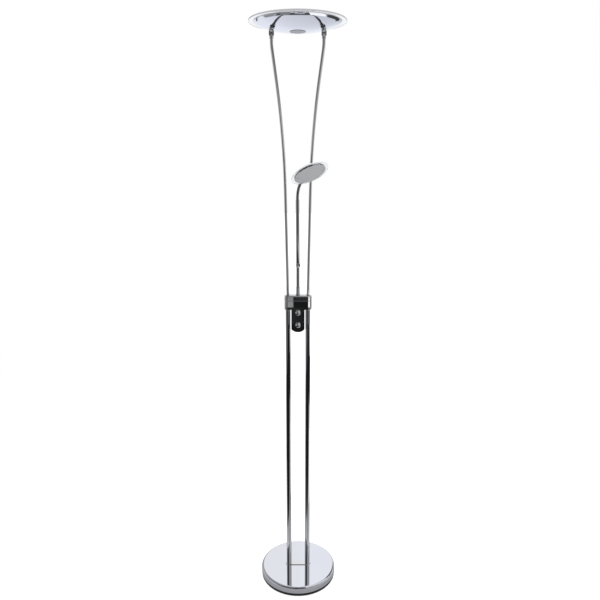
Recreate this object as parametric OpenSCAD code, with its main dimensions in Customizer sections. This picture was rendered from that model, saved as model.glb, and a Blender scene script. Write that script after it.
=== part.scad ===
/* [Overall] */
// Height from the floor to the top of the glass disc
total_h = 1800; // [1700:10:1900]
// Height of the underside of the chrome collar
collar_z = 955; // [900:5:1000]
// Distance between the axes of the two lower tubes
tube_spacing = 63; // [61:0.5:66]

/* [Base] */
// Diameter of the chrome base cover
base_d = 254; // [240:2:280]
// Height of the base from the floor to its flat top
base_h = 34; // [32:1:44]
// Radius of the rounded upper edge of the base
base_edge_r = 7; // [4:0.5:9]
// Sheet thickness of the chrome base cover
cover_wall = 1.2; // [0.8:0.1:1.6]
// Height of the black ring below the chrome cover
ring_h = 12; // [10.5:0.5:14]
// How far the black ring stands inside the chrome cover
ring_inset = 1; // [0.5:0.1:2]
// Thickness of the felt disc under the base
felt_t = 1.5; // [1:0.5:2]
// Thickness of the cast iron weight
weight_t = 16; // [12:1:17]
// Bore of the rubber cable inlet at the back
inlet_bore = 5; // [4:0.5:5]

/* [Stand] */
// Outer diameter of the lower tubes
tube_d = 16; // [15:0.5:17]
// Wall of the lower tubes
tube_wall = 1.2; // [1:0.1:1.5]
// Depth of the collar and of the foot plate, front to back
collar_depth = 23.6; // [22:0.2:26]
// Thickness of the foot plate on the base
foot_plate_t = 2; // [1.5:0.5:4]
// Height of the collar body
collar_body_h = 36; // [33:1:42]
// Height of the collar cap
collar_cap_h = 9.5; // [8:0.5:12]

/* [Dimmer] */
// Width of the dimmer housing between the tubes
housing_w = 42; // [38:0.5:43]
// Height of the dimmer housing
housing_h = 73; // [70:1:84]
// Radius of the curved lower edge of the housing
housing_bottom_r = 28; // [24:1:34]
// Depth of the dimmer housing, front to back
housing_depth = 21; // [18:0.5:22]
// Wall of the dimmer housing
housing_wall = 1.6; // [1.2:0.1:2]
// Diameter of a dimmer knob
knob_d = 16; // [14:0.5:17]
// Height of a dimmer knob, from the housing to its dome
knob_h = 10; // [9:0.5:13]
// Distance between the two knob axes
knob_pitch = 40; // [34:1:42]
// Distance from the collar down to the upper knob axis
knob_drop = 9; // [8.6:0.1:12]

/* [Upper rods] */
// Outer diameter of the upper rods
rod_d = 9.5; // [8.5:0.5:10.5]
// Wall of the upper rods
rod_wall = 1; // [0.8:0.1:1.2]
// Distance between the rod tops, at the knuckles under the dish
rod_top_spacing = 150; // [136:2:160]
// Sideways slope of the nearly straight lower run of a rod
rod_lean = 0.02; // [0.01:0.005:0.03]
// Height of the long outward curve of a rod
rod_flare_h = 310; // [280:5:340]
// Height of the straight slanting run above that curve
rod_slant_h = 84.3; // [70:0.1:100]

/* [Uplight head] */
// Diameter of the clear glass disc
glass_d = 281; // [270:1:300]
// Thickness of the clear glass disc
glass_t = 4; // [3.5:0.5:7]
// Outer diameter of the chrome bowl at its rim
bowl_d = 254; // [244:1:262]
// Depth of the chrome bowl
bowl_depth = 24; // [23:0.5:27]
// Radius of the shallow spherical underside of the bowl
bowl_sphere_r = 375; // [360:5:440]
// Sheet thickness of the bowl
bowl_wall = 1.2; // [1:0.1:1.5]
// Width of the steep band round the bowl's rim
bowl_band_w = 7; // [6:0.5:9]
// Diameter of the grey cap under the middle of the bowl
cap_d = 46; // [40:1:50]
// Number of light emitting chips in the dish
chip_count = 24; // [18:1:30]

/* [Reading light] */
// Height of the arm's hinge above the collar cap
hinge_rise = 95.5; // [85:0.5:110]
// Diameter of the swivelling post
post_d = 10; // [9:0.5:11]
// Outer diameter of the reading arm tube
arm_d = 11; // [10:0.5:12]
// Length of the arm from its hinge to the end of its tube
arm_len = 201; // [180:1:215]
// How far the arm leans forward in the rest pose
arm_tilt = 3; // [2:0.5:6]
// How far the arm leans to the left in the rest pose
arm_lean = 0.3; // [0:0.1:1.2]
// Outer diameter of the flexible neck
neck_d = 9; // [8:0.5:9.5]
// Radius of the neck's bend
neck_r = 64; // [56:1:70]
// Angle of the neck's bend
neck_bend = 54; // [48:1:58]
// Compass turn of the neck's bend, from the right towards the front
neck_turn = 62; // [56:1:68]
// Number of ribs along the neck
neck_ribs = 20; // [14:1:26]
// Diameter of the reading light's clear glass
reading_glass_d = 113; // [108:1:116]
// Diameter of the reading light's grey face plate
face_d = 95; // [90:1:96]
// Depth of the reading light's chrome shell behind its glass
shell_depth = 11; // [11:0.5:14]
// Roll of the reading light about the end of the neck
head_roll = 5; // [0:1:6]

/* [Hidden] */
$fn = 64;

eps = 0.01;
// Slip clearance of a fixed part in its hole, on the diameter
slip = 0.2;
// Close clearance of a pin, plug or thread that stays put, on the diameter
close = 0.1;
// Running clearance of a turning shaft, on the diameter
running = 0.1;
// Gap between moving parts that face each other
gap = 0.3;

// Base
base_r = base_d / 2;
ring_r = base_r - ring_inset;
ring_wall = 7.5;
flange_t = 2.5;
flange_w = 18;
weight_r = ring_r - ring_wall - gap;
weight_z = felt_t + flange_t;
weight_top = weight_z + weight_t;
cover_under = base_h - cover_wall;
boss_h = cover_under - weight_top;
felt_r = ring_r - 3;
ring_screw_d = 4;
ring_screw_head_d = 7;
ring_screw_head_h = 1.4;
ring_screw_len = 9;
ring_screw_count = 4;
ring_screw_r = weight_r - flange_w / 2;
channel_w = 10;
channel_h = 7;

// Studs that clamp the tubes to the base
stud_d = 10;
stud_bore = 6;
stud_hole_d = stud_d + slip;
insert_d = tube_d - 2 * tube_wall - close;
insert_h = 22;
stud_bottom = weight_z + 1;
washer_d = 20;
washer_t = 1.6;
nut_af = 16;
nut_t = 5.5;
pocket_d = 26;
pocket_top = weight_z + nut_t + washer_t + 1.5;

// Inlet
inlet_z = felt_t + (ring_h - felt_t) / 2;
inlet_body_d = inlet_bore + 2.4;
inlet_flange_d = inlet_bore + 4;
inlet_flange_t = 1.2;

// Collar and lower tubes
collar_r = collar_depth / 2;
collar_mid = collar_z + collar_body_h;
collar_top = collar_mid + collar_cap_h;
tube_x = tube_spacing / 2;
tube_top = collar_mid - 6;
pocket_core_d = 20;
pocket_core_h = 14;
wire_hole_d = 9;
bush_h = 40;
bush_bottom = tube_top - bush_h;
grub_d = 4;
grub_z = collar_z + collar_body_h / 2;
grub_len = collar_r - tube_d / 2 - slip;

// Dimmer
housing_z = collar_z - housing_h;
housing_front = -collar_r;
housing_back = housing_front + housing_depth;
housing_half = housing_w / 2;
bottom_sagitta = housing_bottom_r - sqrt(pow(housing_bottom_r, 2) - pow(housing_half, 2));
back_t = 1.8;
back_screw_d = 2.6;
back_screw_head_d = 4.6;
back_screw_head_h = 1.2;
back_screw_len = 8;
back_boss_d = 6;
back_boss_bite = 0.8;
back_boss_inset = housing_wall + back_boss_d / 2 - back_boss_bite;
back_screw_x = housing_half - back_boss_inset;
back_screw_zs = [collar_z - back_boss_inset, housing_z + bottom_sagitta + back_boss_d / 2 - 2 * back_boss_bite];
upper_knob_z = collar_z - knob_drop;
lower_knob_z = upper_knob_z - knob_pitch;
knob_zs = [upper_knob_z, lower_knob_z];
bush_thread_d = 7;
spindle_d = 6;
pot_w = 13;
pot_t = 6;
pot_back = housing_front + housing_wall + pot_t;
board_w = 25;
board_t = 1.6;
board_top = collar_z - housing_wall - 0.5;
board_bottom = lower_knob_z - 10;
housing_screw_d = 4;
housing_screw_head_d = 7;
housing_screw_head_h = 2;
housing_screw_len = 9;
housing_screw_x = 9;
housing_screw_y = 2.5;
pot_nut_af = 10;
pot_nut_t = 2;
thread_out = pot_nut_t + 1;
knob_front = housing_front - gap - knob_h;
knob_skirt_bore = pot_nut_af + 2.4;
knob_skirt_depth = thread_out + 0.6;
knob_dome_h = 3;
spindle_front = knob_front + knob_dome_h + 1;

// Upper rods
rod_base_z = bush_bottom;
knuckle_w = 14.6;
pivot_z = total_h - glass_t - bowl_depth - 6;
tongue_d = 12;
tongue_t = 5;
fork_gap = tongue_t + 2 * gap;
fork_d = 12.6;
tilt_pin_d = 5;
knuckle_shoulder = pivot_z - fork_d / 2 - 0.9;
rod_socket_h = 7;
rod_socket_d = 12.4;
rod_top_z = knuckle_shoulder - 1;
rod_top_run = 20;
rod_top_bend_h = 14;
rod_x0 = tube_x;
rod_x1 = rod_top_spacing / 2;
bend_z1 = rod_top_z - rod_top_run;
bend_z0 = bend_z1 - rod_top_bend_h;
flare_z1 = bend_z0 - rod_slant_h;
lean_z1 = flare_z1 - rod_flare_h;
lean_z0 = collar_top;
rod_slope = (rod_x1 - rod_x0 - rod_lean * (lean_z1 - lean_z0) - rod_lean * rod_flare_h / 2)
    / (rod_flare_h / 2 + (bend_z0 - flare_z1) + rod_top_bend_h / 2);
rod_sides = 16;

// Uplight head
glass_z = total_h - glass_t;
gasket_t = 1;
gasket_w = 4;
rim_z = glass_z - gasket_t;
bowl_r = bowl_d / 2;
bowl_z = rim_z - bowl_depth;
bowl_knee_r = bowl_r - bowl_band_w;
bowl_centre_z = bowl_z + sqrt(pow(bowl_sphere_r, 2) - pow(cap_d / 2, 2));
bowl_knee_z = bowl_centre_z - sqrt(pow(bowl_sphere_r, 2) - pow(bowl_knee_r, 2));
band_wall = bowl_wall / sin(atan2(rim_z - bowl_knee_z, bowl_band_w));
band_slope = bowl_band_w / (rim_z - bowl_knee_z);
lug_x = rod_x1;
lug_base_z = pivot_z + fork_d / 2 + gap;
head_stud_d = 6;
head_nut_af = 10;
head_nut_t = 4;
head_stud_past = 1.5;
lug_stud_top = bowl_inner_z(lug_x) + head_nut_t + head_stud_past;
cap_t = 1.2;
diffuser_t = 1.6;
diffuser_r = bowl_knee_r - 2;
plate_t = 2;
plate_z = glass_z - diffuser_t - 6.4;
plate_r = bowl_inner_r(plate_z) - gap;
led_t = 1.6;
led_outer_r = plate_r - 12;
led_ring_w = 36;
led_inner_r = led_outer_r - led_ring_w;
chip_w = 5;
chip_t = 0.9;
chip_ring_r = (led_outer_r + led_inner_r) / 2;
driver_w = 84;
driver_d = 32;
driver_h = 8;
driver_y = 29;

// Reading light
hinge_z = collar_top + hinge_rise;
socket_d = post_d + 3.4;
socket_h = 25;
socket_floor = 3;
nipple_d = 10;
nipple_bore = 5;
socket_nut_af = 14;
socket_nut_t = 3.5;
post_bottom = collar_top + socket_floor + gap;
arm_tongue_d = 12;
arm_tongue_t = 4;
arm_cheek_t = 3.2;
arm_fork_gap = arm_tongue_t + 2 * gap;
arm_fork_w = arm_fork_gap + 2 * arm_cheek_t;
arm_pin_d = 4;
arm_pin_head_d = 8;
arm_pin_head_h = 1.6;
arm_plug_h = 8;
arm_rim_t = 1.2;
arm_clear = arm_tongue_d / 2 + gap;
post_clear = arm_clear + gap;
arm_wall = 1;
neck_bore = 5;
neck_rib_h = 0.5;
neck_straight = 9;
neck_insert = 4;
neck_sides = 12;
neck_arc = neck_r * neck_bend * PI / 180;
head_reach = 56;
head_offset = 10.3;
face_t = 2;
reading_glass_t = 3;
reading_glass_back = -face_t - reading_glass_t;
reading_opening_r = face_d / 2 - 5;
shell_r = face_d / 2;
shell_wall = 1;
shell_steps = 10;
shell_lip = 1;
shell_flat_r = shell_r * 0.45;
shell_back = reading_glass_back - shell_depth;
neck_socket_d = 10.6;
neck_socket_out = head_reach - 1.5;
reading_board_t = 1.6;
reading_board_r = 34;
face_screw_r = 38;
face_screw_turn = 110;
face_screw_d = 2.5;
face_screw_head_d = 4.4;
face_screw_head_h = 0.6;
face_boss_d = 6;
reading_chip_count = 12;

chrome = [0.78, 0.79, 0.81];
dark = [0.12, 0.12, 0.13];
iron = [0.30, 0.30, 0.31];
steel = [0.62, 0.62, 0.63];
brass = [0.78, 0.66, 0.36];
board_green = [0.12, 0.36, 0.20];
white = [0.93, 0.93, 0.91];
grey = [0.66, 0.66, 0.68];
clear = [0.80, 0.88, 0.88, 0.45];

echo(rod_slope = rod_slope, plate_r = plate_r, neck_rib_pitch = neck_arc / neck_ribs);

// Upright ring with a round bore
module ring(outer, bore, h) {
    difference() {
        cylinder(d = outer, h = h);
        translate([0, 0, -eps]) cylinder(d = bore, h = h + 2 * eps);
    }
}

// Hexagon nut with a round bore, standing on its lower face
module nut(af, bore, h) {
    difference() {
        cylinder(d = af / cos(30), h = h, $fn = 6);
        translate([0, 0, -eps]) cylinder(d = bore, h = h + 2 * eps);
    }
}

// Flat outline with two round ends, its long side along X
module stadium(spacing, radius) {
    translate([-spacing / 2, -radius]) square([spacing, 2 * radius]);
    for (side = [-1, 1]) translate([side * spacing / 2, 0]) circle(radius);
}

// Cylinder along X, centred on the origin
module cross_bar(d, len) {
    rotate([0, 90, 0]) translate([0, 0, -len / 2]) cylinder(d = d, h = len);
}

// Cylinder that runs back along +Y from the origin
module rearward(d, len) {
    rotate([-90, 0, 0]) cylinder(d = d, h = len);
}

// Round-ended plate that stands on a stem, pivot hole along X at the origin
module tongue(d, thick, drop, hole) {
    difference() {
        union() {
            cross_bar(d, thick);
            translate([-thick / 2, -d / 2, -drop]) cube([thick, d, drop]);
        }
        cross_bar(hole, thick + 2);
    }
}

// Two round-ended cheeks each side of a gap, pivot hole along X at the origin
module fork(d, width, slot, rise, hole) {
    cheek = (width - slot) / 2;
    for (side = [-1, 1]) translate([side * (slot + cheek) / 2, 0, 0]) difference() {
        union() {
            cross_bar(d, cheek);
            translate([-cheek / 2, -d / 2, 0]) cube([cheek, d, rise]);
        }
        cross_bar(hole, cheek + 2);
    }
}

// One closed ring of points about a centre, in the plane of two unit vectors
function ring_points(centre, across, along, radius, sides) =
    [for (k = [0 : sides - 1]) centre + radius * (cos(360 * k / sides) * across + sin(360 * k / sides) * along)];

// Tube through a list of stations, each [centre, across, outer radius], with a round bore
module swept_tube(stations, bore_r, sides, along = [0, 1, 0]) {
    rings = len(stations);
    outer = [for (s = stations) each ring_points(s[0], s[1], along, s[2], sides)];
    inner = [for (s = stations) each ring_points(s[0], s[1], along, bore_r, sides)];
    shift = rings * sides;
    wall_faces = [for (i = [0 : rings - 2]) for (k = [0 : sides - 1])
        let (a = i * sides + k, b = i * sides + (k + 1) % sides) each [
            [a, b, b + sides], [a, b + sides, a + sides],
            [shift + b, shift + a, shift + a + sides], [shift + b, shift + a + sides, shift + b + sides]
        ]];
    last = (rings - 1) * sides;
    end_faces = [for (k = [0 : sides - 1]) let (n = (k + 1) % sides) each [
        [k, shift + k, shift + n], [k, shift + n, n],
        [last + k, last + n, shift + last + n], [last + k, shift + last + n, shift + last + k]
    ]];
    polyhedron(points = concat(outer, inner), faces = concat(wall_faces, end_faces), convexity = 8);
}

// Base

module felt_disc() {
    color(dark) cylinder(r = felt_r, h = felt_t, $fn = 96);
}

module base_ring() {
    color(dark) difference() {
        union() {
            translate([0, 0, felt_t]) difference() {
                cylinder(r = ring_r, h = ring_h - felt_t, $fn = 96);
                translate([0, 0, flange_t]) cylinder(r = ring_r - ring_wall, h = ring_h, $fn = 96);
                translate([0, 0, -eps]) cylinder(r = ring_r - ring_wall - flange_w, h = ring_h, $fn = 96);
            }
        }
        translate([0, ring_r - ring_wall - 1, inlet_z]) rearward(inlet_body_d + close, ring_wall + 2);
        ring_screw_places() translate([0, 0, -eps]) cylinder(d = ring_screw_d + slip, h = flange_t + 2 * eps);
        ring_screw_places() translate([0, 0, -eps]) cylinder(d = ring_screw_head_d + slip, h = ring_screw_head_h + eps);
    }
}

module ring_screw_places() {
    for (k = [0 : ring_screw_count - 1]) rotate([0, 0, 45 + k * 360 / ring_screw_count])
        translate([ring_screw_r, 0, felt_t]) children();
}

module ring_screws() {
    color(steel) ring_screw_places() {
        cylinder(d = ring_screw_head_d, h = ring_screw_head_h);
        cylinder(d = ring_screw_d, h = ring_screw_len);
    }
}

module base_weight() {
    color(iron) difference() {
        union() {
            translate([0, 0, weight_z]) cylinder(r = weight_r, h = weight_t, $fn = 96);
            translate([0, 0, weight_top]) linear_extrude(boss_h) stadium(tube_spacing, collar_r);
        }
        for (side = [-1, 1]) translate([side * tube_x, 0, 0]) {
            cylinder(d = stud_hole_d, h = base_h);
            translate([0, 0, weight_z - eps]) cylinder(d = pocket_d, h = pocket_top - weight_z + eps);
        }
        ring_screw_places() cylinder(d = ring_screw_d + close, h = ring_screw_len + 1);
        translate([-channel_w / 2, 0, weight_z - eps]) cube([channel_w, weight_r + 1, channel_h]);
        translate([-tube_x, -channel_w / 2, weight_z - eps]) cube([tube_spacing, channel_w, channel_h]);
    }
}

module base_cover() {
    color(chrome) difference() {
        rotate_extrude($fn = 96) difference() {
            cover_outline(base_r, base_h, base_edge_r);
            cover_outline(base_r - cover_wall, base_h - cover_wall, base_edge_r - cover_wall);
            translate([0, -1]) square([base_r + 1, ring_h + 1]);
        }
        for (side = [-1, 1]) translate([side * tube_x, 0, cover_under - 1]) cylinder(d = stud_hole_d, h = cover_wall + 2);
    }
}

// Half section of a disc with a rounded upper edge
module cover_outline(radius, height, edge_r) {
    square([radius, height - edge_r]);
    square([radius - edge_r, height]);
    translate([radius - edge_r, height - edge_r]) intersection() {
        circle(edge_r);
        square(edge_r + 1);
    }
}

module cable_inlet() {
    color(dark) translate([0, ring_r - ring_wall, inlet_z]) difference() {
        union() {
            rearward(inlet_body_d, ring_wall);
            translate([0, ring_wall, 0]) rearward(inlet_flange_d, inlet_flange_t);
        }
        translate([0, -1, 0]) rearward(inlet_bore, ring_wall + inlet_flange_t + 2);
    }
}

// Foot of the stand

module foot_plate() {
    color(chrome) translate([0, 0, base_h]) difference() {
        linear_extrude(foot_plate_t) stadium(tube_spacing, collar_r);
        for (side = [-1, 1]) translate([side * tube_x, 0, -1]) cylinder(d = tube_d + slip, h = foot_plate_t + 2);
    }
}

module stud_inserts() {
    color(steel) for (side = [-1, 1]) translate([side * tube_x, 0, base_h]) ring(insert_d, stud_d + close, insert_h);
}

module tube_studs() {
    color(steel) for (side = [-1, 1]) translate([side * tube_x, 0, stud_bottom])
        ring(stud_d, stud_bore, base_h + insert_h - stud_bottom);
}

module stud_washers() {
    color(steel) for (side = [-1, 1]) translate([side * tube_x, 0, pocket_top - washer_t])
        ring(washer_d, stud_d + slip, washer_t);
}

module stud_nuts() {
    color(steel) for (side = [-1, 1]) translate([side * tube_x, 0, pocket_top - washer_t - nut_t])
        nut(nut_af, stud_d + close, nut_t);
}

module lower_tube(side) {
    color(chrome) translate([side * tube_x, 0, base_h]) ring(tube_d, tube_d - 2 * tube_wall, tube_top - base_h);
}

module lower_tube_left() { lower_tube(-1); }

module lower_tube_right() { lower_tube(1); }

module rod_bushes() {
    color(steel) for (side = [-1, 1]) translate([side * tube_x, 0, bush_bottom]) ring(insert_d, rod_d + slip, bush_h);
}

// Collar

module collar_body() {
    color(chrome) difference() {
        translate([0, 0, collar_z]) linear_extrude(collar_body_h) stadium(tube_spacing, collar_r);
        for (side = [-1, 1]) translate([side * tube_x, 0, 0]) {
            translate([0, 0, collar_z - 1]) cylinder(d = tube_d + slip, h = tube_top - collar_z + 1);
            cylinder(d = rod_d + slip, h = collar_mid + 1);
            translate([0, 0, grub_z]) rearward(grub_d + close, collar_r + 1);
        }
        housing_screw_places() cylinder(d = housing_screw_d + close, h = housing_screw_len);
        translate([0, 0, collar_mid - pocket_core_h]) cylinder(d = pocket_core_d, h = pocket_core_h + 1);
        translate([0, 0, collar_z - 1]) cylinder(d = wire_hole_d, h = collar_body_h);
    }
}

module collar_cap() {
    color(chrome) difference() {
        translate([0, 0, collar_mid]) linear_extrude(collar_cap_h) stadium(tube_spacing, collar_r);
        for (side = [-1, 1]) translate([side * tube_x, 0, collar_mid - 1]) cylinder(d = rod_d + slip, h = collar_cap_h + 2);
        translate([0, 0, collar_mid - 1]) cylinder(d = nipple_d + slip, h = collar_cap_h + 2);
    }
}

module collar_screws() {
    color(steel) for (side = [-1, 1]) translate([side * tube_x, tube_d / 2 + slip / 2, grub_z]) rearward(grub_d, grub_len);
}

module housing_screw_places() {
    for (side = [-1, 1]) translate([side * housing_screw_x, housing_screw_y, collar_z]) children();
}

module housing_screws() {
    color(steel) housing_screw_places() {
        translate([0, 0, -housing_wall - housing_screw_head_h]) cylinder(d = housing_screw_head_d, h = housing_screw_head_h);
        translate([0, 0, -housing_wall]) cylinder(d = housing_screw_d, h = housing_screw_len);
    }
}

// Dimmer

// Outline of the housing in the X and Z plane, drawn about the collar's underside
module housing_outline(inset) {
    half = housing_half - inset;
    intersection() {
        translate([-half, -housing_h + inset]) square([2 * half, housing_h - 2 * inset]);
        translate([0, -housing_h + housing_bottom_r]) union() {
            circle(housing_bottom_r - inset, $fn = 96);
            translate([-half, 0]) square([2 * half, housing_h]);
        }
    }
}

// Slab with the housing's outline, from one depth to another
module housing_slab(front, back, inset) {
    translate([0, back, collar_z]) rotate([90, 0, 0]) linear_extrude(back - front) housing_outline(inset);
}

module back_screw_places() {
    for (side = [-1, 1]) for (z = back_screw_zs) translate([side * back_screw_x, 0, z]) children();
}

module dimmer_housing() {
    color(chrome) difference() {
        union() {
            difference() {
                housing_slab(housing_front, housing_back, 0);
                housing_slab(housing_front + housing_wall, housing_back + 1, housing_wall);
            }
            back_screw_places() translate([0, housing_front + housing_wall / 2, 0])
                rearward(back_boss_d, housing_depth - housing_wall / 2);
        }
        for (z = knob_zs) translate([0, housing_front - 1, z]) rearward(bush_thread_d + close, housing_wall + 2);
        back_screw_places() translate([0, housing_back - back_screw_len, 0]) rearward(back_screw_d + close, back_screw_len + 1);
        housing_screw_places() translate([0, 0, -housing_wall - 1]) cylinder(d = housing_screw_d + slip, h = housing_wall + 2);
        translate([0, 0, collar_z - housing_wall - 1]) cylinder(d = wire_hole_d, h = housing_wall + 2);
    }
}

module dimmer_back() {
    color(dark) difference() {
        housing_slab(housing_back, housing_back + back_t, 0);
        back_screw_places() translate([0, housing_back - 1, 0]) rearward(back_screw_d + slip, back_t + 2);
    }
}

module back_screws() {
    color(steel) back_screw_places() {
        translate([0, housing_back - back_screw_len + 1, 0]) rearward(back_screw_d, back_screw_len - 1 + back_t);
        translate([0, housing_back + back_t, 0]) rearward(back_screw_head_d, back_screw_head_h);
    }
}

module dimmer_board() {
    color(board_green) translate([-board_w / 2, pot_back, board_bottom]) cube([board_w, board_t, board_top - board_bottom]);
}

module potentiometers() {
    color(steel) for (z = knob_zs) translate([0, 0, z]) difference() {
        union() {
            translate([-pot_w / 2, pot_back - pot_t, -pot_w / 2]) cube([pot_w, pot_t, pot_w]);
            translate([0, housing_front - thread_out, 0]) rearward(bush_thread_d, thread_out + housing_wall + pot_t / 2);
        }
        translate([0, housing_front - thread_out - 1, 0]) rearward(spindle_d + running, thread_out + housing_wall + pot_t);
    }
}

module pot_nuts() {
    color(steel) for (z = knob_zs) translate([0, housing_front, z]) rotate([90, 0, 0]) nut(pot_nut_af, bush_thread_d + close, pot_nut_t);
}

// Domed knob with a hollow skirt that hides the nut, its axis along Y
module knob(z) {
    knob_r = knob_d / 2;
    dome_r = (pow(knob_r - 1, 2) + pow(knob_dome_h, 2)) / (2 * knob_dome_h);
    color(chrome) translate([0, housing_front - gap, z]) rotate([90, 0, 0]) difference() {
        union() {
            cylinder(r = knob_r, h = knob_h - knob_dome_h);
            intersection() {
                translate([0, 0, knob_h - dome_r]) sphere(dome_r);
                translate([0, 0, knob_h - knob_dome_h - eps]) cylinder(r = knob_r - 1, h = knob_dome_h + 1);
            }
        }
        translate([0, 0, -eps]) cylinder(d = knob_skirt_bore, h = knob_skirt_depth);
        translate([0, 0, -eps]) cylinder(d = spindle_d + close, h = knob_h - knob_dome_h - 1);
    }
}

module spindle(z) {
    tail = housing_front + housing_wall + pot_t - 1.5;
    color(brass) translate([0, spindle_front, z]) rearward(spindle_d, tail - spindle_front);
}

module upper_knob() { knob(upper_knob_z); }

module upper_spindle() { spindle(upper_knob_z); }

module lower_knob() { knob(lower_knob_z); }

module lower_spindle() { spindle(lower_knob_z); }

// Upper rods

// Slope of a rod at a height, from the vertical foot to the vertical top
function rod_slope_at(z) =
    z < lean_z0 ? 0 :
    z < lean_z1 ? rod_lean :
    z < flare_z1 ? rod_lean + (rod_slope - rod_lean) * (z - lean_z1) / rod_flare_h :
    z < bend_z0 ? rod_slope :
    z < bend_z1 ? rod_slope * (bend_z1 - z) / rod_top_bend_h : 0;

// Distance of a rod's axis from the middle at a height
function rod_x_at(z) =
    rod_x0
    + rod_lean * max(0, min(z, lean_z1) - lean_z0)
    + (z > lean_z1 ? (rod_lean + rod_slope_at(min(z, flare_z1 - eps))) / 2 * (min(z, flare_z1) - lean_z1) : 0)
    + rod_slope * max(0, min(z, bend_z0) - flare_z1)
    + (z > bend_z0 ? (rod_slope + rod_slope_at(z)) / 2 * (min(z, bend_z1) - bend_z0) : 0);

rod_heights = concat(
    [rod_base_z, lean_z0],
    [for (k = [0 : 8]) lean_z1 + rod_flare_h * k / 8],
    [for (k = [0 : 4]) bend_z0 + rod_top_bend_h * k / 4],
    [rod_top_z]
);

rod_stations = [for (z = rod_heights) let (s = rod_slope_at(z), n = sqrt(1 + s * s))
    [[rod_x_at(z), 0, z], [1 / n, 0, -s / n], rod_d / 2]];

module upper_rod() {
    color(chrome) swept_tube(rod_stations, rod_d / 2 - rod_wall, rod_sides);
}

module upper_rod_right() { upper_rod(); }

module upper_rod_left() { mirror([1, 0, 0]) upper_rod(); }

// Knuckle that caps a rod and carries the tilting head
module rod_knuckle(side) {
    color(chrome) translate([side * rod_x1, 0, 0]) {
        difference() {
            translate([0, 0, knuckle_shoulder - rod_socket_h]) cylinder(d = rod_socket_d, h = rod_socket_h);
            translate([0, 0, knuckle_shoulder - rod_socket_h - 1]) cylinder(d = rod_d + slip, h = rod_socket_h);
        }
        translate([0, 0, pivot_z]) tongue(tongue_d, tongue_t, pivot_z - knuckle_shoulder, tilt_pin_d + running);
    }
}

module rod_knuckle_left() { rod_knuckle(-1); }

module rod_knuckle_right() { rod_knuckle(1); }

// Uplight head

// Height of the bowl's inner surface at a radius, on its shallow part
function bowl_inner_z(r) = bowl_centre_z - sqrt(pow(bowl_sphere_r - bowl_wall, 2) - pow(r, 2));

// Radius of the bowl's inner surface at a height, on its shallow part
function bowl_inner_r(z) = sqrt(pow(bowl_sphere_r - bowl_wall, 2) - pow(bowl_centre_z - z, 2));

// Ball whose underside is the shallow part of the bowl
module bowl_ball(inset) {
    translate([0, 0, bowl_centre_z]) sphere(bowl_sphere_r - inset, $fn = 360);
}

// Solid dish: a shallow ball cut flat below, inside the steep cone of the rim band
module bowl_block(floor_z, top_z, ball_inset, band_inset) {
    cone_r = function(z) bowl_r - band_inset - (rim_z - z) * band_slope;
    intersection() {
        bowl_ball(ball_inset);
        translate([0, 0, floor_z]) cylinder(r1 = cone_r(floor_z), r2 = cone_r(top_z), h = top_z - floor_z, $fn = 96);
    }
}

module bowl() {
    color(chrome) difference() {
        bowl_block(bowl_z, rim_z, 0, 0);
        bowl_block(bowl_z + bowl_wall, rim_z + 1, bowl_wall, band_wall);
        for (x = [-lug_x, 0, lug_x]) translate([x, 0, bowl_z - 1]) cylinder(d = head_stud_d + slip, h = bowl_depth);
    }
}

module centre_cap() {
    color(grey) translate([0, 0, bowl_z - cap_t]) {
        cylinder(d = cap_d, h = cap_t);
        cylinder(d = head_stud_d, h = cap_t + bowl_wall + head_nut_t + head_stud_past);
    }
}

// Fork that hangs under the bowl, with a stud through the sheet
module head_lug(side) {
    color(chrome) translate([side * lug_x, 0, 0]) {
        translate([0, 0, pivot_z]) fork(fork_d, knuckle_w, fork_gap, fork_d / 2 + gap, tilt_pin_d + close);
        difference() {
            translate([0, 0, lug_base_z]) cylinder(d = knuckle_w, h = bowl_depth);
            translate([-side * lug_x, 0, 0]) bowl_ball(0);
        }
        translate([0, 0, lug_base_z]) cylinder(d = head_stud_d, h = lug_stud_top - lug_base_z);
    }
}

module head_lug_left() { head_lug(-1); }

module head_lug_right() { head_lug(1); }

module tilt_pins() {
    color(steel) for (side = [-1, 1]) translate([side * lug_x, 0, pivot_z]) cross_bar(tilt_pin_d, knuckle_w);
}

// Nuts on the studs of the two lugs and of the middle cap, bedded on the inside of the bowl
module head_nuts() {
    color(steel) {
        translate([0, 0, bowl_z + bowl_wall]) nut(head_nut_af, head_stud_d + close, head_nut_t);
        intersection() {
            for (side = [-1, 1]) translate([side * lug_x, 0, bowl_z])
                nut(head_nut_af, head_stud_d + close, bowl_inner_z(lug_x) + head_nut_t - bowl_z);
            bowl_ball(bowl_wall);
        }
    }
}

module heat_plate() {
    color(steel) translate([0, 0, plate_z]) cylinder(r = plate_r, h = plate_t, $fn = 96);
}

module led_board() {
    color(white) translate([0, 0, plate_z + plate_t]) ring(2 * led_outer_r, 2 * led_inner_r, led_t);
}

module led_chips() {
    color("khaki") for (k = [0 : chip_count - 1]) rotate([0, 0, 360 * k / chip_count])
        translate([chip_ring_r - chip_w / 2, -chip_w / 2, plate_z + plate_t + led_t]) cube([chip_w, chip_w, chip_t]);
}

module led_driver() {
    color(dark) translate([-driver_w / 2, driver_y - driver_d / 2, plate_z - driver_h]) cube([driver_w, driver_d, driver_h]);
}

module diffuser() {
    color(white) translate([0, 0, glass_z - diffuser_t]) cylinder(r = diffuser_r, h = diffuser_t, $fn = 96);
}

module rim_gasket() {
    color(grey) translate([0, 0, rim_z]) difference() {
        cylinder(r = bowl_r, h = gasket_t, $fn = 96);
        translate([0, 0, -1]) cylinder(r = bowl_r - gasket_w, h = gasket_t + 2, $fn = 96);
    }
}

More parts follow.
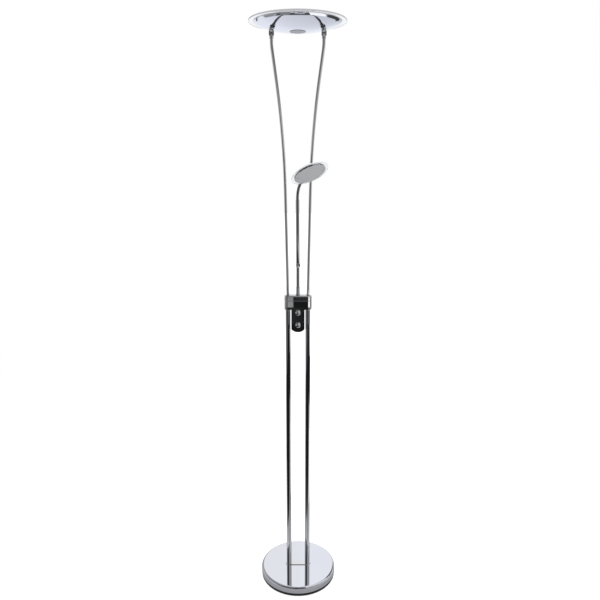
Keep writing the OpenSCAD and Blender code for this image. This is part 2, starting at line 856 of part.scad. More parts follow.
module glass_disc() {
    edge = 1;
    color(clear) translate([0, 0, glass_z]) rotate_extrude($fn = 96) polygon([
        [0, 0], [glass_d / 2 - edge, 0], [glass_d / 2, edge],
        [glass_d / 2, glass_t - edge], [glass_d / 2 - edge, glass_t], [0, glass_t]
    ]);
}

// Reading arm

module arm_socket() {
    color(chrome) difference() {
        union() {
            translate([0, 0, collar_top]) cylinder(d = socket_d, h = socket_h);
            translate([0, 0, collar_mid - socket_nut_t - 1]) cylinder(d = nipple_d, h = collar_cap_h + socket_nut_t + 2);
        }
        translate([0, 0, collar_top + socket_floor]) cylinder(d = post_d + running, h = socket_h);
        translate([0, 0, collar_mid - socket_nut_t - 2]) cylinder(d = nipple_bore, h = collar_cap_h + socket_h);
    }
}

module socket_nut() {
    color(steel) translate([0, 0, collar_mid - socket_nut_t]) nut(socket_nut_af, nipple_d + close, socket_nut_t);
}

module reading_post() {
    top = hinge_z - post_clear - arm_rim_t;
    color(chrome) translate([0, 0, post_bottom]) ring(post_d, post_d - 2 * arm_wall, top - post_bottom);
}

// Tongue on a round plug at the top of the post
module post_knuckle() {
    color(chrome) translate([0, 0, hinge_z]) {
        tongue(arm_tongue_d, arm_tongue_t, post_clear, arm_pin_d + running);
        translate([0, 0, -post_clear - arm_rim_t]) cylinder(d = socket_d, h = arm_rim_t);
        translate([0, 0, -post_clear - arm_rim_t - arm_plug_h])
            cylinder(d = post_d - 2 * arm_wall - close, h = arm_plug_h + arm_rim_t);
    }
}

// Frame of the arm: origin on the hinge, Z along the tube
module at_arm() {
    translate([0, 0, hinge_z]) rotate([arm_tilt, 0, 0]) rotate([0, -arm_lean, 0]) children();
}

// Frame of the neck: origin at the start of its bend, which turns towards +X
module at_neck() {
    at_arm() translate([0, 0, arm_len - neck_insert + neck_straight]) rotate([0, 0, -neck_turn]) children();
}

// Frame at the end of the bend, Z along the neck
module at_neck_end() {
    at_neck() translate([neck_r * (1 - cos(neck_bend)), 0, neck_r * sin(neck_bend)]) rotate([0, neck_bend, 0])
        rotate([0, 0, head_roll]) children();
}

// Frame of the reading head: origin in the middle of its face, Z out of the face, X back to the neck
module at_head() {
    at_neck_end() translate([head_offset, 0, head_reach]) rotate([0, 90, 0]) children();
}

// Fork at the foot of the arm, on a plug in the tube
module arm_knuckle() {
    color(chrome) at_arm() {
        fork(arm_tongue_d, arm_fork_w, arm_fork_gap, arm_clear + arm_rim_t / 2, arm_pin_d + close);
        translate([0, 0, arm_clear]) cylinder(d = arm_d + 1.6, h = arm_rim_t);
        translate([0, 0, arm_clear]) cylinder(d = arm_d - 2 * arm_wall - close, h = arm_rim_t + arm_plug_h);
    }
}

module arm_pin() {
    color(steel) at_arm() {
        cross_bar(arm_pin_d, arm_fork_w);
        translate([arm_fork_w / 2, 0, 0]) rotate([0, 90, 0]) cylinder(d = arm_pin_head_d, h = arm_pin_head_h);
    }
}

module reading_tube() {
    start = arm_clear + arm_rim_t;
    color(chrome) at_arm() translate([0, 0, start]) ring(arm_d, arm_d - 2 * arm_wall, arm_len - start);
}

// One station of the neck at a distance past the start of its bend, straight at both ends
function neck_station(s, radius) =
    let (a = max(0, min(neck_arc, s)) / neck_r * 180 / PI, rest = s < 0 ? s : max(0, s - neck_arc)) [
        [neck_r * (1 - cos(a)) + rest * sin(a), 0, neck_r * sin(a) + rest * cos(a)],
        [cos(a), 0, -sin(a)],
        radius
    ];

neck_stations = concat(
    [neck_station(-neck_straight, neck_d / 2 - close / 2), neck_station(0, neck_d / 2 - close / 2)],
    [for (k = [0 : neck_ribs - 1]) each [
        neck_station(neck_arc * (k + 0.35) / neck_ribs, neck_d / 2 - neck_rib_h),
        neck_station(neck_arc * (k + 1) / neck_ribs, neck_d / 2)
    ]],
    [neck_station(neck_arc + neck_straight, neck_d / 2)]
);

module reading_neck() {
    color(chrome) at_neck() swept_tube(neck_stations, neck_bore / 2, neck_sides);
}

// Reading head

// Depth of the shell's outside behind the glass, at a share of the way from lip to flat back
function shell_point(share, inset) = [
    shell_flat_r + (shell_r - inset - shell_flat_r) * cos(90 * share),
    reading_glass_back - shell_lip - (shell_depth - inset - shell_lip) * sin(90 * share)
];

function shell_section(inset) = concat(
    [[0, reading_glass_back + (inset > 0 ? 1 : 0)], [shell_r - inset, reading_glass_back + (inset > 0 ? 1 : 0)]],
    [for (k = [0 : shell_steps]) shell_point(k / shell_steps, inset)],
    [[0, shell_back + inset]]
);

module shell_block(inset) {
    rotate_extrude($fn = 96) polygon(shell_section(inset));
}

module face_screw_places() {
    for (turn = [0, 180]) rotate([0, 0, face_screw_turn + turn]) translate([face_screw_r, 0, 0]) children();
}

module reading_shell() {
    color(chrome) at_head() {
        difference() {
            shell_block(0);
            shell_block(shell_wall);
            translate([0, 0, -head_offset]) rotate([0, 90, 0]) cylinder(d = neck_d + slip, h = shell_r + 5);
        }
        face_screw_places() intersection() {
            translate([0, 0, shell_back]) difference() {
                cylinder(d = face_boss_d, h = -face_t - shell_back);
                translate([0, 0, 3]) cylinder(d = face_screw_d + close, h = -shell_back);
            }
            union() {
                shell_block(shell_wall / 2);
                translate([0, 0, reading_glass_back]) cylinder(r = reading_opening_r, h = -reading_glass_back);
            }
        }
    }
}

module reading_board() {
    z = shell_back + shell_wall;
    color(white) at_head() translate([0, 0, z]) cylinder(r = shell_flat_r - 1, h = reading_board_t);
}

module reading_chips() {
    z = shell_back + shell_wall + reading_board_t;
    color("khaki") at_head() for (k = [0 : reading_chip_count - 1]) rotate([0, 0, 360 * (k + 0.5) / reading_chip_count])
        translate([(shell_flat_r - 1) * 0.7 - chip_w / 2, -chip_w / 2, z]) cube([chip_w, chip_w, chip_t]);
}

module neck_socket() {
    color(chrome) at_head() difference() {
        translate([0, 0, -head_offset]) rotate([0, 90, 0]) cylinder(d = neck_socket_d, h = neck_socket_out);
        translate([0, 0, -head_offset]) rotate([0, 90, 0]) cylinder(d = neck_d + slip, h = neck_socket_out + 1);
        shell_block(0);
    }
}

module reading_glass() {
    edge = 0.8;
    outer = reading_glass_d / 2;
    color(clear) at_head() translate([0, 0, reading_glass_back]) rotate_extrude($fn = 96) polygon([
        [reading_opening_r, 0], [outer - edge, 0], [outer, edge],
        [outer, reading_glass_t - edge], [outer - edge, reading_glass_t], [reading_opening_r, reading_glass_t]
    ]);
}

module face_plate() {
    color(grey) at_head() difference() {
        translate([0, 0, -face_t]) cylinder(d = face_d, h = face_t, $fn = 96);
        face_screw_places() translate([0, 0, -face_t - 1]) cylinder(d = face_screw_d + slip, h = face_t + 2);
    }
}

module face_screws() {
    color(steel) at_head() face_screw_places() {
        cylinder(d = face_screw_head_d, h = face_screw_head_h);
        translate([0, 0, -face_t - 6]) cylinder(d = face_screw_d, h = face_t + 6);
    }
}

felt_disc();
base_ring();
ring_screws();
base_weight();
base_cover();
cable_inlet();
foot_plate();
stud_inserts();
tube_studs();
stud_washers();
stud_nuts();
lower_tube_left();
lower_tube_right();
rod_bushes();
collar_body();
collar_cap();
collar_screws();
housing_screws();
dimmer_housing();
dimmer_back();
back_screws();
dimmer_board();
potentiometers();
pot_nuts();
upper_knob();
upper_spindle();
lower_knob();
lower_spindle();
upper_rod_left();
upper_rod_right();
rod_knuckle_left();
rod_knuckle_right();
head_lug_left();
head_lug_right();
tilt_pins();
head_nuts();
bowl();
centre_cap();
heat_plate();
led_board();
led_chips();
led_driver();
diffuser();
rim_gasket();
glass_disc();
arm_socket();
socket_nut();
reading_post();
post_knuckle();
arm_knuckle();
arm_pin();
reading_tube();
reading_neck();
neck_socket();
reading_shell();
reading_board();
reading_chips();
reading_glass();
face_plate();
face_screws();
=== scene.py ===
"""Chrome floor lamp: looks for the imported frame."""
import math

import bpy
from mathutils import Matrix, Vector


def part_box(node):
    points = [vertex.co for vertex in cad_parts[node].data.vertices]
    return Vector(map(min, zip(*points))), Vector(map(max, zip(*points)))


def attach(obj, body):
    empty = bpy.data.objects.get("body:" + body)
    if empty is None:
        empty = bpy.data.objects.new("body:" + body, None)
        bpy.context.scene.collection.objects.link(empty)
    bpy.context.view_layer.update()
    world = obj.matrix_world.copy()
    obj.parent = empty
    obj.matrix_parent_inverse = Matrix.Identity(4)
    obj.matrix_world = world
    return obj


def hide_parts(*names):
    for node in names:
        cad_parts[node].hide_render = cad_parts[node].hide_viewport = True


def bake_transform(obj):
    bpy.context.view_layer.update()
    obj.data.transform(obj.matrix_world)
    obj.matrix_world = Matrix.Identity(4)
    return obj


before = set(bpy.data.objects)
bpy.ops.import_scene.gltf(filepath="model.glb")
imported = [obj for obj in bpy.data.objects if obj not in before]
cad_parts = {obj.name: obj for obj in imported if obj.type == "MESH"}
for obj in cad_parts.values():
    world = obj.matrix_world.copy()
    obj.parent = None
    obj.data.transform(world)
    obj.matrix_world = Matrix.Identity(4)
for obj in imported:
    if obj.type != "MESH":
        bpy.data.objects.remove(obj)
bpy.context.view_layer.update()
MM = 0.001
SAME_SPOT = 0.002 * MM


# ---- finishes

def finish_nodes(name):
    """A new material with its node tree, its shader and an Object coordinate."""
    mat = bpy.data.materials.new(name)
    mat.use_nodes = True
    nodes, links = mat.node_tree.nodes, mat.node_tree.links
    shader = nodes["Principled BSDF"]
    coord = nodes.new("ShaderNodeTexCoord")
    return mat, nodes, links, shader, coord


def noise_of(nodes, links, coord, scale, detail, stretch=(1, 1, 1)):
    """Noise on Object coordinates, stretched along an axis if wanted."""
    place = nodes.new("ShaderNodeMapping")
    place.inputs["Scale"].default_value = stretch
    noise = nodes.new("ShaderNodeTexNoise")
    noise.inputs["Scale"].default_value = scale
    noise.inputs["Detail"].default_value = detail
    links.new(coord.outputs["Object"], place.inputs["Vector"])
    links.new(place.outputs["Vector"], noise.inputs["Vector"])
    return noise.outputs["Fac"]


def between(nodes, links, source, low, high, socket):
    """Maps a 0 to 1 pattern to a range, into a socket."""
    span = nodes.new("ShaderNodeMapRange")
    span.inputs["From Min"].default_value = 0.3
    span.inputs["From Max"].default_value = 0.7
    span.inputs["To Min"].default_value = low
    span.inputs["To Max"].default_value = high
    links.new(source, span.inputs["Value"])
    links.new(span.outputs["Result"], socket)


def mix_colours(nodes, links, mask, first, second):
    """The first colour where a mask is nought, the second where it is one. The first may come from another node."""
    mix = nodes.new("ShaderNodeMix")
    mix.data_type = "RGBA"
    links.new(mask, mix.inputs[0])
    if isinstance(first, tuple):
        mix.inputs[6].default_value = (*first, 1)
    else:
        links.new(first, mix.inputs[6])
    mix.inputs[7].default_value = (*second, 1)
    return mix.outputs[2]


def mix_shaders(nodes, links, mask, first, second):
    """The first shader where a mask is nought, the second where it is one."""
    mix = nodes.new("ShaderNodeMixShader")
    for socket, source in zip(mix.inputs, (mask, first, second)):
        links.new(source, socket)
    return mix.outputs[0]


def bump_of(nodes, links, source, shader, strength, distance):
    bump = nodes.new("ShaderNodeBump")
    bump.inputs["Strength"].default_value = strength
    bump.inputs["Distance"].default_value = distance
    links.new(source, bump.inputs["Height"])
    links.new(bump.outputs["Normal"], shader.inputs["Normal"])


def polished_metal(name, first, second, rough, ripple, stretch=(1, 1, 1)):
    """Plated or polished metal: faint haze, faint tone and a very slight ripple."""
    mat, nodes, links, shader, coord = finish_nodes(name)
    shader.inputs["Metallic"].default_value = 1.0
    shader.inputs["IOR"].default_value = 1.5
    haze = noise_of(nodes, links, coord, 38, 5, stretch)
    between(nodes, links, haze, rough[0], rough[1], shader.inputs["Roughness"])
    tone = noise_of(nodes, links, coord, 9, 2, stretch)
    links.new(mix_colours(nodes, links, tone, first, second), shader.inputs["Base Color"])
    bump_of(nodes, links, noise_of(nodes, links, coord, 14, 1, stretch), shader, ripple, 0.0004)
    return mat


def plain_finish(name, first, second, rough, scale, bump, depth=0.0002, metallic=0.0):
    """Enamel, plastic, rubber or cast surface with a fine grain."""
    mat, nodes, links, shader, coord = finish_nodes(name)
    shader.inputs["Metallic"].default_value = metallic
    grain = noise_of(nodes, links, coord, scale, 6)
    between(nodes, links, grain, rough[0], rough[1], shader.inputs["Roughness"])
    links.new(mix_colours(nodes, links, grain, first, second), shader.inputs["Base Color"])
    bump_of(nodes, links, grain, shader, bump, depth)
    return mat


def clear_glass(name):
    """Clear float glass, almost without colour."""
    mat, nodes, links, shader, coord = finish_nodes(name)
    shader.inputs["Transmission Weight"].default_value = 1.0
    shader.inputs["IOR"].default_value = 1.46
    tone = noise_of(nodes, links, coord, 5, 1)
    tint = mix_colours(nodes, links, tone, (0.945, 0.948, 0.955), (0.965, 0.968, 0.975))
    links.new(tint, shader.inputs["Base Color"])
    between(nodes, links, noise_of(nodes, links, coord, 30, 3), 0.0, 0.02, shader.inputs["Roughness"])
    return mat


ALONG = (1, 1, 0.05)
chrome = polished_metal("polished_chrome", (0.75, 0.755, 0.78), (0.79, 0.795, 0.815), (0.006, 0.02), 0.002)
spun_chrome = polished_metal("spun_chrome", (0.77, 0.785, 0.845), (0.795, 0.81, 0.865), (0.012, 0.035), 0.01)
base_chrome = polished_metal("polished_base_chrome", (0.77, 0.785, 0.845), (0.795, 0.81, 0.865), (0.004, 0.014), 0.004)
drawn_chrome = polished_metal("drawn_chrome_tube", (0.74, 0.745, 0.765), (0.78, 0.785, 0.80),
                              (0.015, 0.045), 0.01, ALONG)
plain_steel = polished_metal("plain_steel", (0.50, 0.50, 0.51), (0.60, 0.60, 0.61), (0.22, 0.36), 0.10)
turned_brass = polished_metal("turned_brass", (0.66, 0.50, 0.22), (0.74, 0.59, 0.30), (0.15, 0.3), 0.05)
rolled_aluminium = polished_metal("rolled_aluminium", (0.66, 0.66, 0.68), (0.74, 0.74, 0.75),
                                  (0.25, 0.4), 0.08, (1, 8, 1))
black_enamel = plain_finish("black_enamel", (0.006, 0.006, 0.007), (0.012, 0.012, 0.013), (0.28, 0.4), 120, 0.08)
black_felt = plain_finish("black_felt", (0.012, 0.012, 0.012), (0.03, 0.03, 0.03), (0.85, 0.98), 900, 0.8, 0.0006)
grey_enamel = plain_finish("grey_enamel", (0.40, 0.40, 0.425), (0.43, 0.43, 0.455), (0.35, 0.45), 160, 0.05)
face_enamel = plain_finish("satin_grey_face", (0.475, 0.475, 0.48), (0.505, 0.505, 0.51), (0.35, 0.5), 160, 0.05)
cast_iron = plain_finish("cast_iron", (0.07, 0.07, 0.07), (0.14, 0.14, 0.14), (0.6, 0.8), 260, 0.5, 0.0006, 0.6)
black_rubber = plain_finish("black_rubber", (0.012, 0.012, 0.012), (0.02, 0.02, 0.02), (0.6, 0.75), 300, 0.2)
black_plastic = plain_finish("black_plastic", (0.012, 0.012, 0.013), (0.02, 0.02, 0.021), (0.45, 0.6), 420, 0.25)
board_green = plain_finish("circuit_board", (0.015, 0.10, 0.04), (0.03, 0.16, 0.07), (0.3, 0.45), 200, 0.1)
board_white = plain_finish("white_light_board", (0.80, 0.80, 0.78), (0.86, 0.86, 0.84), (0.35, 0.5), 200, 0.05)
chip_yellow = plain_finish("yellow_light_chip", (0.80, 0.58, 0.12), (0.88, 0.68, 0.2), (0.3, 0.4), 200, 0.05)
opal = plain_finish("opal_diffuser", (0.86, 0.86, 0.85), (0.90, 0.90, 0.89), (0.45, 0.55), 150, 0.03)
clear_rubber = plain_finish("pale_rim_seal", (0.50, 0.50, 0.51), (0.56, 0.56, 0.57), (0.5, 0.6), 200, 0.1)
glass = clear_glass("clear_float_glass")
ground_glass = plain_finish("ground_glass_edge", (0.56, 0.565, 0.575), (0.60, 0.605, 0.615), (0.3, 0.4), 300, 0.05)
fine_ground_glass = plain_finish("fine_ground_glass_edge", (0.88, 0.875, 0.89), (0.92, 0.915, 0.93),
                                 (0.3, 0.4), 300, 0.05)
arm_chrome = polished_metal("arm_chrome_tube", (0.40, 0.385, 0.375), (0.44, 0.425, 0.415),
                            (0.02, 0.05), 0.004, ALONG)
knob_chrome = polished_metal("satin_chrome_knob", (0.80, 0.80, 0.81), (0.84, 0.84, 0.85), (0.16, 0.22), 0.01)


# ---- working at the bench

def start_clean():
    """Leaves edit mode and lets go of everything."""
    if bpy.context.object and bpy.context.object.mode != "OBJECT":
        leave_edit()
    bpy.ops.object.select_all(action="DESELECT")


def pick(obj):
    start_clean()
    obj.select_set(True)
    bpy.context.view_layer.objects.active = obj


def edit(action="SELECT"):
    """Opens the picked piece for editing, with all of it held, or none."""
    bpy.ops.object.mode_set(mode="EDIT")
    bpy.ops.mesh.select_all(action=action)


def leave_edit():
    bpy.ops.object.mode_set(mode="OBJECT")


def hold(obj, cells, rule):
    """Holds the vertices or polygons that a rule picks, ready for editing."""
    edit("DESELECT")
    leave_edit()
    for cell in getattr(obj.data, cells):
        cell.select = rule(cell)
    bpy.ops.object.mode_set(mode="EDIT")


def put(obj, place=None):
    """Moves a mesh to its place, if one is given, and leaves its object at the origin."""
    if place:
        obj.matrix_world = place @ obj.matrix_world
    pick(obj)
    bpy.ops.object.transform_apply(location=True, rotation=True, scale=True)
    return obj


def shift(x, y, z):
    """A move, in millimetres."""
    return Matrix.Translation((x * MM, y * MM, z * MM))


def turn_by(degrees, axis):
    return Matrix.Rotation(math.radians(degrees), 4, axis)


def facing_back(x, y, z):
    """A place from which a piece's upright axis points to the back."""
    return shift(x, y, z) @ turn_by(-90, "X")


def finished(obj, name, finish, body, stands_for, angle=30, place=None):
    """Places, smooths, names and dresses a piece, and hands it to its body."""
    put(obj, place)
    bpy.ops.object.shade_smooth_by_angle(angle=math.radians(angle))
    obj.name = obj.data.name = name
    obj.data.materials.clear()
    obj.data.materials.append(finish)
    if body:
        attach(obj, body)
    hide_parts(*stands_for)
    return obj


def soften_edges(obj, width, segments=3, angle=40):
    """Rounds the sharp edges of a piece by a small bevel."""
    pick(obj)
    bevel = obj.modifiers.new("edge", "BEVEL")
    bevel.width = width * MM
    bevel.segments = segments
    bevel.limit_method = "ANGLE"
    bevel.angle_limit = math.radians(angle)
    bevel.harden_normals = False
    bpy.ops.object.modifier_apply(modifier=bevel.name)


def cut_away(obj, *cutters):
    """Cuts each cutter out of a piece."""
    for cutter in cutters:
        pick(obj)
        cut = obj.modifiers.new("cut", "BOOLEAN")
        cut.operation = "DIFFERENCE"
        cut.solver = "EXACT"
        cut.object = cutter
        bpy.ops.object.modifier_apply(modifier=cut.name)
        bpy.data.objects.remove(cutter)
    return obj


def join(first, *others):
    """Joins several closed shells into one piece."""
    pick(first)
    for other in others:
        other.select_set(True)
    bpy.ops.object.join()
    return first


def rod_shape(radius, length, centre, axis="Z", sides=64):
    """A straight round bar, as a start or a cutter, in millimetres."""
    start_clean()
    turn = {"X": (0, math.pi / 2, 0), "Y": (math.pi / 2, 0, 0), "Z": (0, 0, 0)}[axis]
    bpy.ops.mesh.primitive_cylinder_add(vertices=sides, radius=radius * MM, depth=length * MM,
                                        location=[c * MM for c in centre], rotation=turn)
    return put(bpy.context.object)


def slot_shape(length, width, depth, height):
    """A straight block for cutting a screw's slot, in millimetres."""
    start_clean()
    bpy.ops.mesh.primitive_cube_add(size=1, location=(0, 0, height * MM), scale=(length * MM, width * MM, depth * MM))
    return put(bpy.context.object)


def turned(profile, steps=96):
    """Spins a profile, given as radius and height in millimetres, about the upright axis.

    It starts as one point and grows edge by edge.
    """
    start_clean()
    r, h = profile[0]
    bpy.ops.mesh.primitive_plane_add(size=MM, location=(r * MM, 0, h * MM))
    edit()
    bpy.ops.mesh.merge(type="CENTER")
    for (ra, ha), (rb, hb) in zip(profile, profile[1:]):
        step = ((rb - ra) * MM, 0, (hb - ha) * MM)
        bpy.ops.mesh.extrude_region_move(TRANSFORM_OT_translate={"value": step})
    edit()
    bpy.ops.mesh.spin(steps=steps, angle=2 * math.pi, center=(0, 0, 0), axis=(0, 0, 1))
    edit()
    tidy_surface()
    return put(bpy.context.object)


def tidy_surface():
    """Merges what lies together and turns the faces outward, then leaves edit mode."""
    bpy.ops.mesh.remove_doubles(threshold=SAME_SPOT)
    bpy.ops.mesh.normals_make_consistent(inside=False)
    leave_edit()


def arc(centre, radius, start, end, count):
    """Points of an arc in the profile's plane, angles in degrees."""
    angles = [math.radians(start + (end - start) * k / count) for k in range(count + 1)]
    return [(centre[0] + radius * math.cos(a), centre[1] + radius * math.sin(a)) for a in angles]


def chamfered(r, z0, z1, c):
    """Profile of a disc with rounded rims, in millimetres."""
    return [(0, z0), *arc((r - c, z0 + c), c, -90, 0, 4), *arc((r - c, z1 - c), c, 0, 90, 4), (0, z1)]


def stadium_plate(radius, z0, z1, edge):
    """Round-ended plate over both tubes: a disc whose halves are pulled apart, with softened rims."""
    start_clean()
    bpy.ops.mesh.primitive_cylinder_add(vertices=96, radius=radius * MM, depth=(z1 - z0) * MM,
                                        location=(0, 0, (z0 + z1) / 2 * MM), rotation=(0, 0, math.pi / 96))
    plate = put(bpy.context.object)
    for side in (-1, 1):
        hold(plate, "vertices", lambda v: v.co.x * side > 0)
        bpy.ops.transform.translate(value=(side * TUBE_X * MM, 0, 0))
    leave_edit()
    soften_edges(plate, edge)
    return plate


def pulled_bar(points, radii, sides):
    """Round bar along points, with a radius at each, in millimetres, drawn as a curve and made a mesh."""
    start_clean()
    bpy.ops.curve.primitive_nurbs_path_add(location=(0, 0, 0))
    curve_object = bpy.context.object
    curve = curve_object.data
    curve.splines.clear()
    line = curve.splines.new("POLY")
    line.points.add(len(points) - 1)
    for point, at, radius in zip(line.points, points, radii):
        point.co = (*[c * MM for c in at], 1)
        point.radius = radius / max(radii)
    curve.dimensions = "3D"
    curve.bevel_depth = max(radii) * MM
    curve.bevel_resolution = sides // 2 - 2
    curve.use_fill_caps = True
    pick(curve_object)
    bpy.ops.object.convert(target="MESH")
    edit()
    tidy_surface()
    return bpy.context.object


def round_ended_tab(radius, thickness, reach, centre=(0, 0, 0), up=True):
    """Tab with one round end at its pivot, which lies along X: a disc whose upper half is flattened and drawn out."""
    tab = rod_shape(radius, thickness, (0, 0, 0), "X", 48)
    hold(tab, "vertices", lambda v: v.co.z > 0.00001)
    bpy.ops.transform.resize(value=(1, 1, 0), center_override=(0, 0, 0))
    bpy.ops.transform.translate(value=(0, 0, reach * MM))
    leave_edit()
    if not up:
        put(tab, turn_by(180, "X"))
    edit()
    bpy.ops.mesh.dissolve_limited(angle_limit=math.radians(1))
    leave_edit()
    soften_edges(tab, 0.4, 2)
    return put(tab, shift(*centre))


def low_high(node):
    """The lowest and highest corner of a part, in millimetres."""
    low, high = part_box(node)
    return low / MM, high / MM


def guarded(profile, gap=0.3, least=1.8):
    """Adds a point near both ends of each long run, so that the shading turns only at its edges."""
    out = [profile[0]]
    for (ra, ha), (rb, hb) in zip(profile, profile[1:]):
        run = math.hypot(rb - ra, hb - ha)
        if run > least:
            out.extend((ra + (rb - ra) * t, ha + (hb - ha) * t) for t in (gap / run, 1 - gap / run))
        out.append((rb, hb))
    return out


def tube_profile(bore, outer, z0, z1, edge=0.3):
    """Closed profile of a tube or ring with softened rims."""
    return guarded([(bore, z0), (outer - edge, z0), (outer, z0 + edge), (outer, z1 - edge), (outer - edge, z1),
                    (bore + edge, z1), (bore, z1 - edge), (bore, z0)])


def true_flats(obj):
    """Keeps flat faces flat up to their softened edges."""
    pick(obj)
    even = obj.modifiers.new("flats", "WEIGHTED_NORMAL")
    even.weight = 90
    even.keep_sharp = True
    bpy.ops.object.modifier_apply(modifier=even.name)


def slotted_screw(head_r, head_h, shank_r, length, slot_w=0.8, dome=0.5):
    """Cheese-headed screw along Z, head up from zero, its slot across the head."""
    profile = [(0, -length), (shank_r, -length), (shank_r, 0), (head_r, 0), (head_r, head_h - dome),
               *arc((head_r - dome, head_h - dome), dome, 20, 90, 3), (0, head_h)]
    return cut_away(turned(profile, 32), slot_shape(head_r * 3, slot_w, head_h, head_h))


# ---- base

TUBE_X, TUBE_HOLE, ROD_R, ROD_HOLE = 31.5, 8.1, 4.75, 4.85
TUBES = ((-1, "left"), (1, "right"))


def tube_bores(radius, length, z, sides):
    """Cutters for a hole at each tube."""
    return [rod_shape(radius, length, (side * TUBE_X, 0, z), "Z", sides) for side in (-1, 1)]


def felt_foot():
    low, high = low_high("felt_disc")
    felt = turned(guarded(chamfered(high.x, low.z, high.z, 0.4)), 128)
    finished(felt, "felt_foot", black_felt, "stand", ["felt_disc"])


def black_band():
    """Black ring under the chrome, with its flange, the hole for the cable inlet and the holes for its screws."""
    low, high = low_high("base_ring")
    r, wall, flange, flange_top = high.x, 7.5, 18, low.z + 2.5
    inner = r - wall
    screws_r = inner - 9.3
    ring = turned(guarded([
        (inner - flange, low.z), (r - 0.8, low.z), (r, low.z + 0.8), (r, high.z - 0.3), (r - 0.3, high.z),
        (inner, high.z), (inner, flange_top), (inner - flange, flange_top), (inner - flange, low.z)]), 160)
    cutters = [rod_shape(3.75, 14, (0, r - wall / 2, (low.z + high.z) / 2), "Y", 32)]
    for turn in (45, 135, 225, 315):
        x, y = [screws_r * reach(math.radians(turn)) for reach in (math.cos, math.sin)]
        cutters += [rod_shape(2.1, 8, (x, y, low.z + 1), "Z", 24), rod_shape(3.6, 2.8, (x, y, low.z), "Z", 24)]
    cut_away(ring, *cutters)
    true_flats(finished(ring, "black_base_band", black_enamel, "stand", ["base_ring"]))


def base_dome():
    """Spun chrome cover: flat top, rounded shoulder, short side wall."""
    low, high = low_high("base_cover")
    r, edge, wall = high.x, 7, 1.2
    bend = (r - edge, high.z - edge)
    outer = [(r, low.z), (r, high.z - edge), *arc(bend, edge, 0, 90, 14)[1:], (0, high.z)]
    inner = [(0, high.z - wall), (r - edge, high.z - wall), *arc(bend, edge - wall, 90, 0, 10)[1:], (r - wall, low.z)]
    cover = turned(guarded([*outer, *inner, (r, low.z)], 0.5, 3), 192)
    cut_away(cover, *tube_bores(5.1, 6, high.z, 48))
    true_flats(finished(cover, "chrome_base_cover", base_chrome, "stand", ["base_cover"]))


def inlet_grommet():
    """Rubber grommet at the back, open through its middle."""
    low, high = low_high("cable_inlet")
    length = high.y - low.y
    grommet = turned([(2.5, 0), (3.7, 0), (3.7, length - 1.2), (4.5, length - 1.2), (4.5, length - 0.5),
                      *arc((3.9, length - 0.5), 0.5, 10, 90, 3), (3.0, length), (2.5, length - 0.5), (2.5, 0)], 48)
    place = facing_back(0, low.y, (low.z + high.z) / 2)
    finished(grommet, "cable_inlet_grommet", black_rubber, "stand", ["cable_inlet"], place=place)


# ---- stand

def foot_plate():
    low, high = low_high("foot_plate")
    plate = cut_away(stadium_plate(high.y, low.z, high.z, 0.5), *tube_bores(TUBE_HOLE, 9, low.z, 64))
    true_flats(finished(plate, "foot_plate_chrome", chrome, "stand", ["foot_plate"]))


def lower_tubes():
    for side, word in TUBES:
        node = "lower_tube_" + word
        low, high = low_high(node)
        tube = turned(tube_profile(6.8, 8, low.z, high.z), 96)
        finished(tube, "chrome_tube_" + word, drawn_chrome, "stand", [node], place=shift(side * TUBE_X, 0, 0))


GRUB_Z = 973


def collar():
    """Collar in two layers, with the fine seam between them and the bores for tubes, rods and wires."""
    low, high = low_high("collar_body")
    cutters = []
    for x in (-TUBE_X, TUBE_X):
        cutters += [rod_shape(TUBE_HOLE, 40, (x, 0, low.z + 10)), rod_shape(ROD_HOLE, 60, (x, 0, high.z), "Z", 48),
                    rod_shape(2.05, 14, (x, 12, GRUB_Z), "Y", 24)]
    cutters += [rod_shape(10, 28, (0, 0, high.z), "Z", 48), rod_shape(4.5, 80, (0, 0, low.z), "Z", 32)]
    body = cut_away(stadium_plate(high.y, low.z, high.z, 0.7), *cutters)
    true_flats(finished(body, "collar_lower_block", chrome, "stand", ["collar_body"]))
    low, high = low_high("collar_cap")
    bores = [*tube_bores(ROD_HOLE, 30, low.z, 48), rod_shape(5.1, 30, (0, 0, low.z), "Z", 48)]
    cap = cut_away(stadium_plate(high.y, low.z, high.z, 0.25), *bores)
    true_flats(finished(cap, "collar_top_plate", chrome, "stand", ["collar_cap"]))


def collar_grub_screws():
    """Two socket-headed grub screws against the tubes, at the back."""
    low, high = low_high("collar_screws")
    length = high.y - low.y
    screws = []
    for x in (-TUBE_X, TUBE_X):
        screw = turned([(0, 0), (1.6, 0), (2, 0.4), (2, length - 0.3), (1.7, length), (0, length)], 32)
        cut_away(screw, rod_shape(1.15, 3.2, (0, 0, length), "Z", 6))
        screws.append(put(screw, facing_back(x, low.y, GRUB_Z)))
    finished(join(*screws), "collar_grub_screw_pair", plain_steel, "stand", ["collar_screws"])


# ---- dimmer

ARCH_R, ARCH_Z = 28, 910
HOUSING_HALF, HOUSING_TOP = 21, 955
KNOB_HEIGHTS = (946, 906)
BACK_SCREWS = [(x, z) for x in (-17.2, 17.2) for z in (951.2, 892.9)]


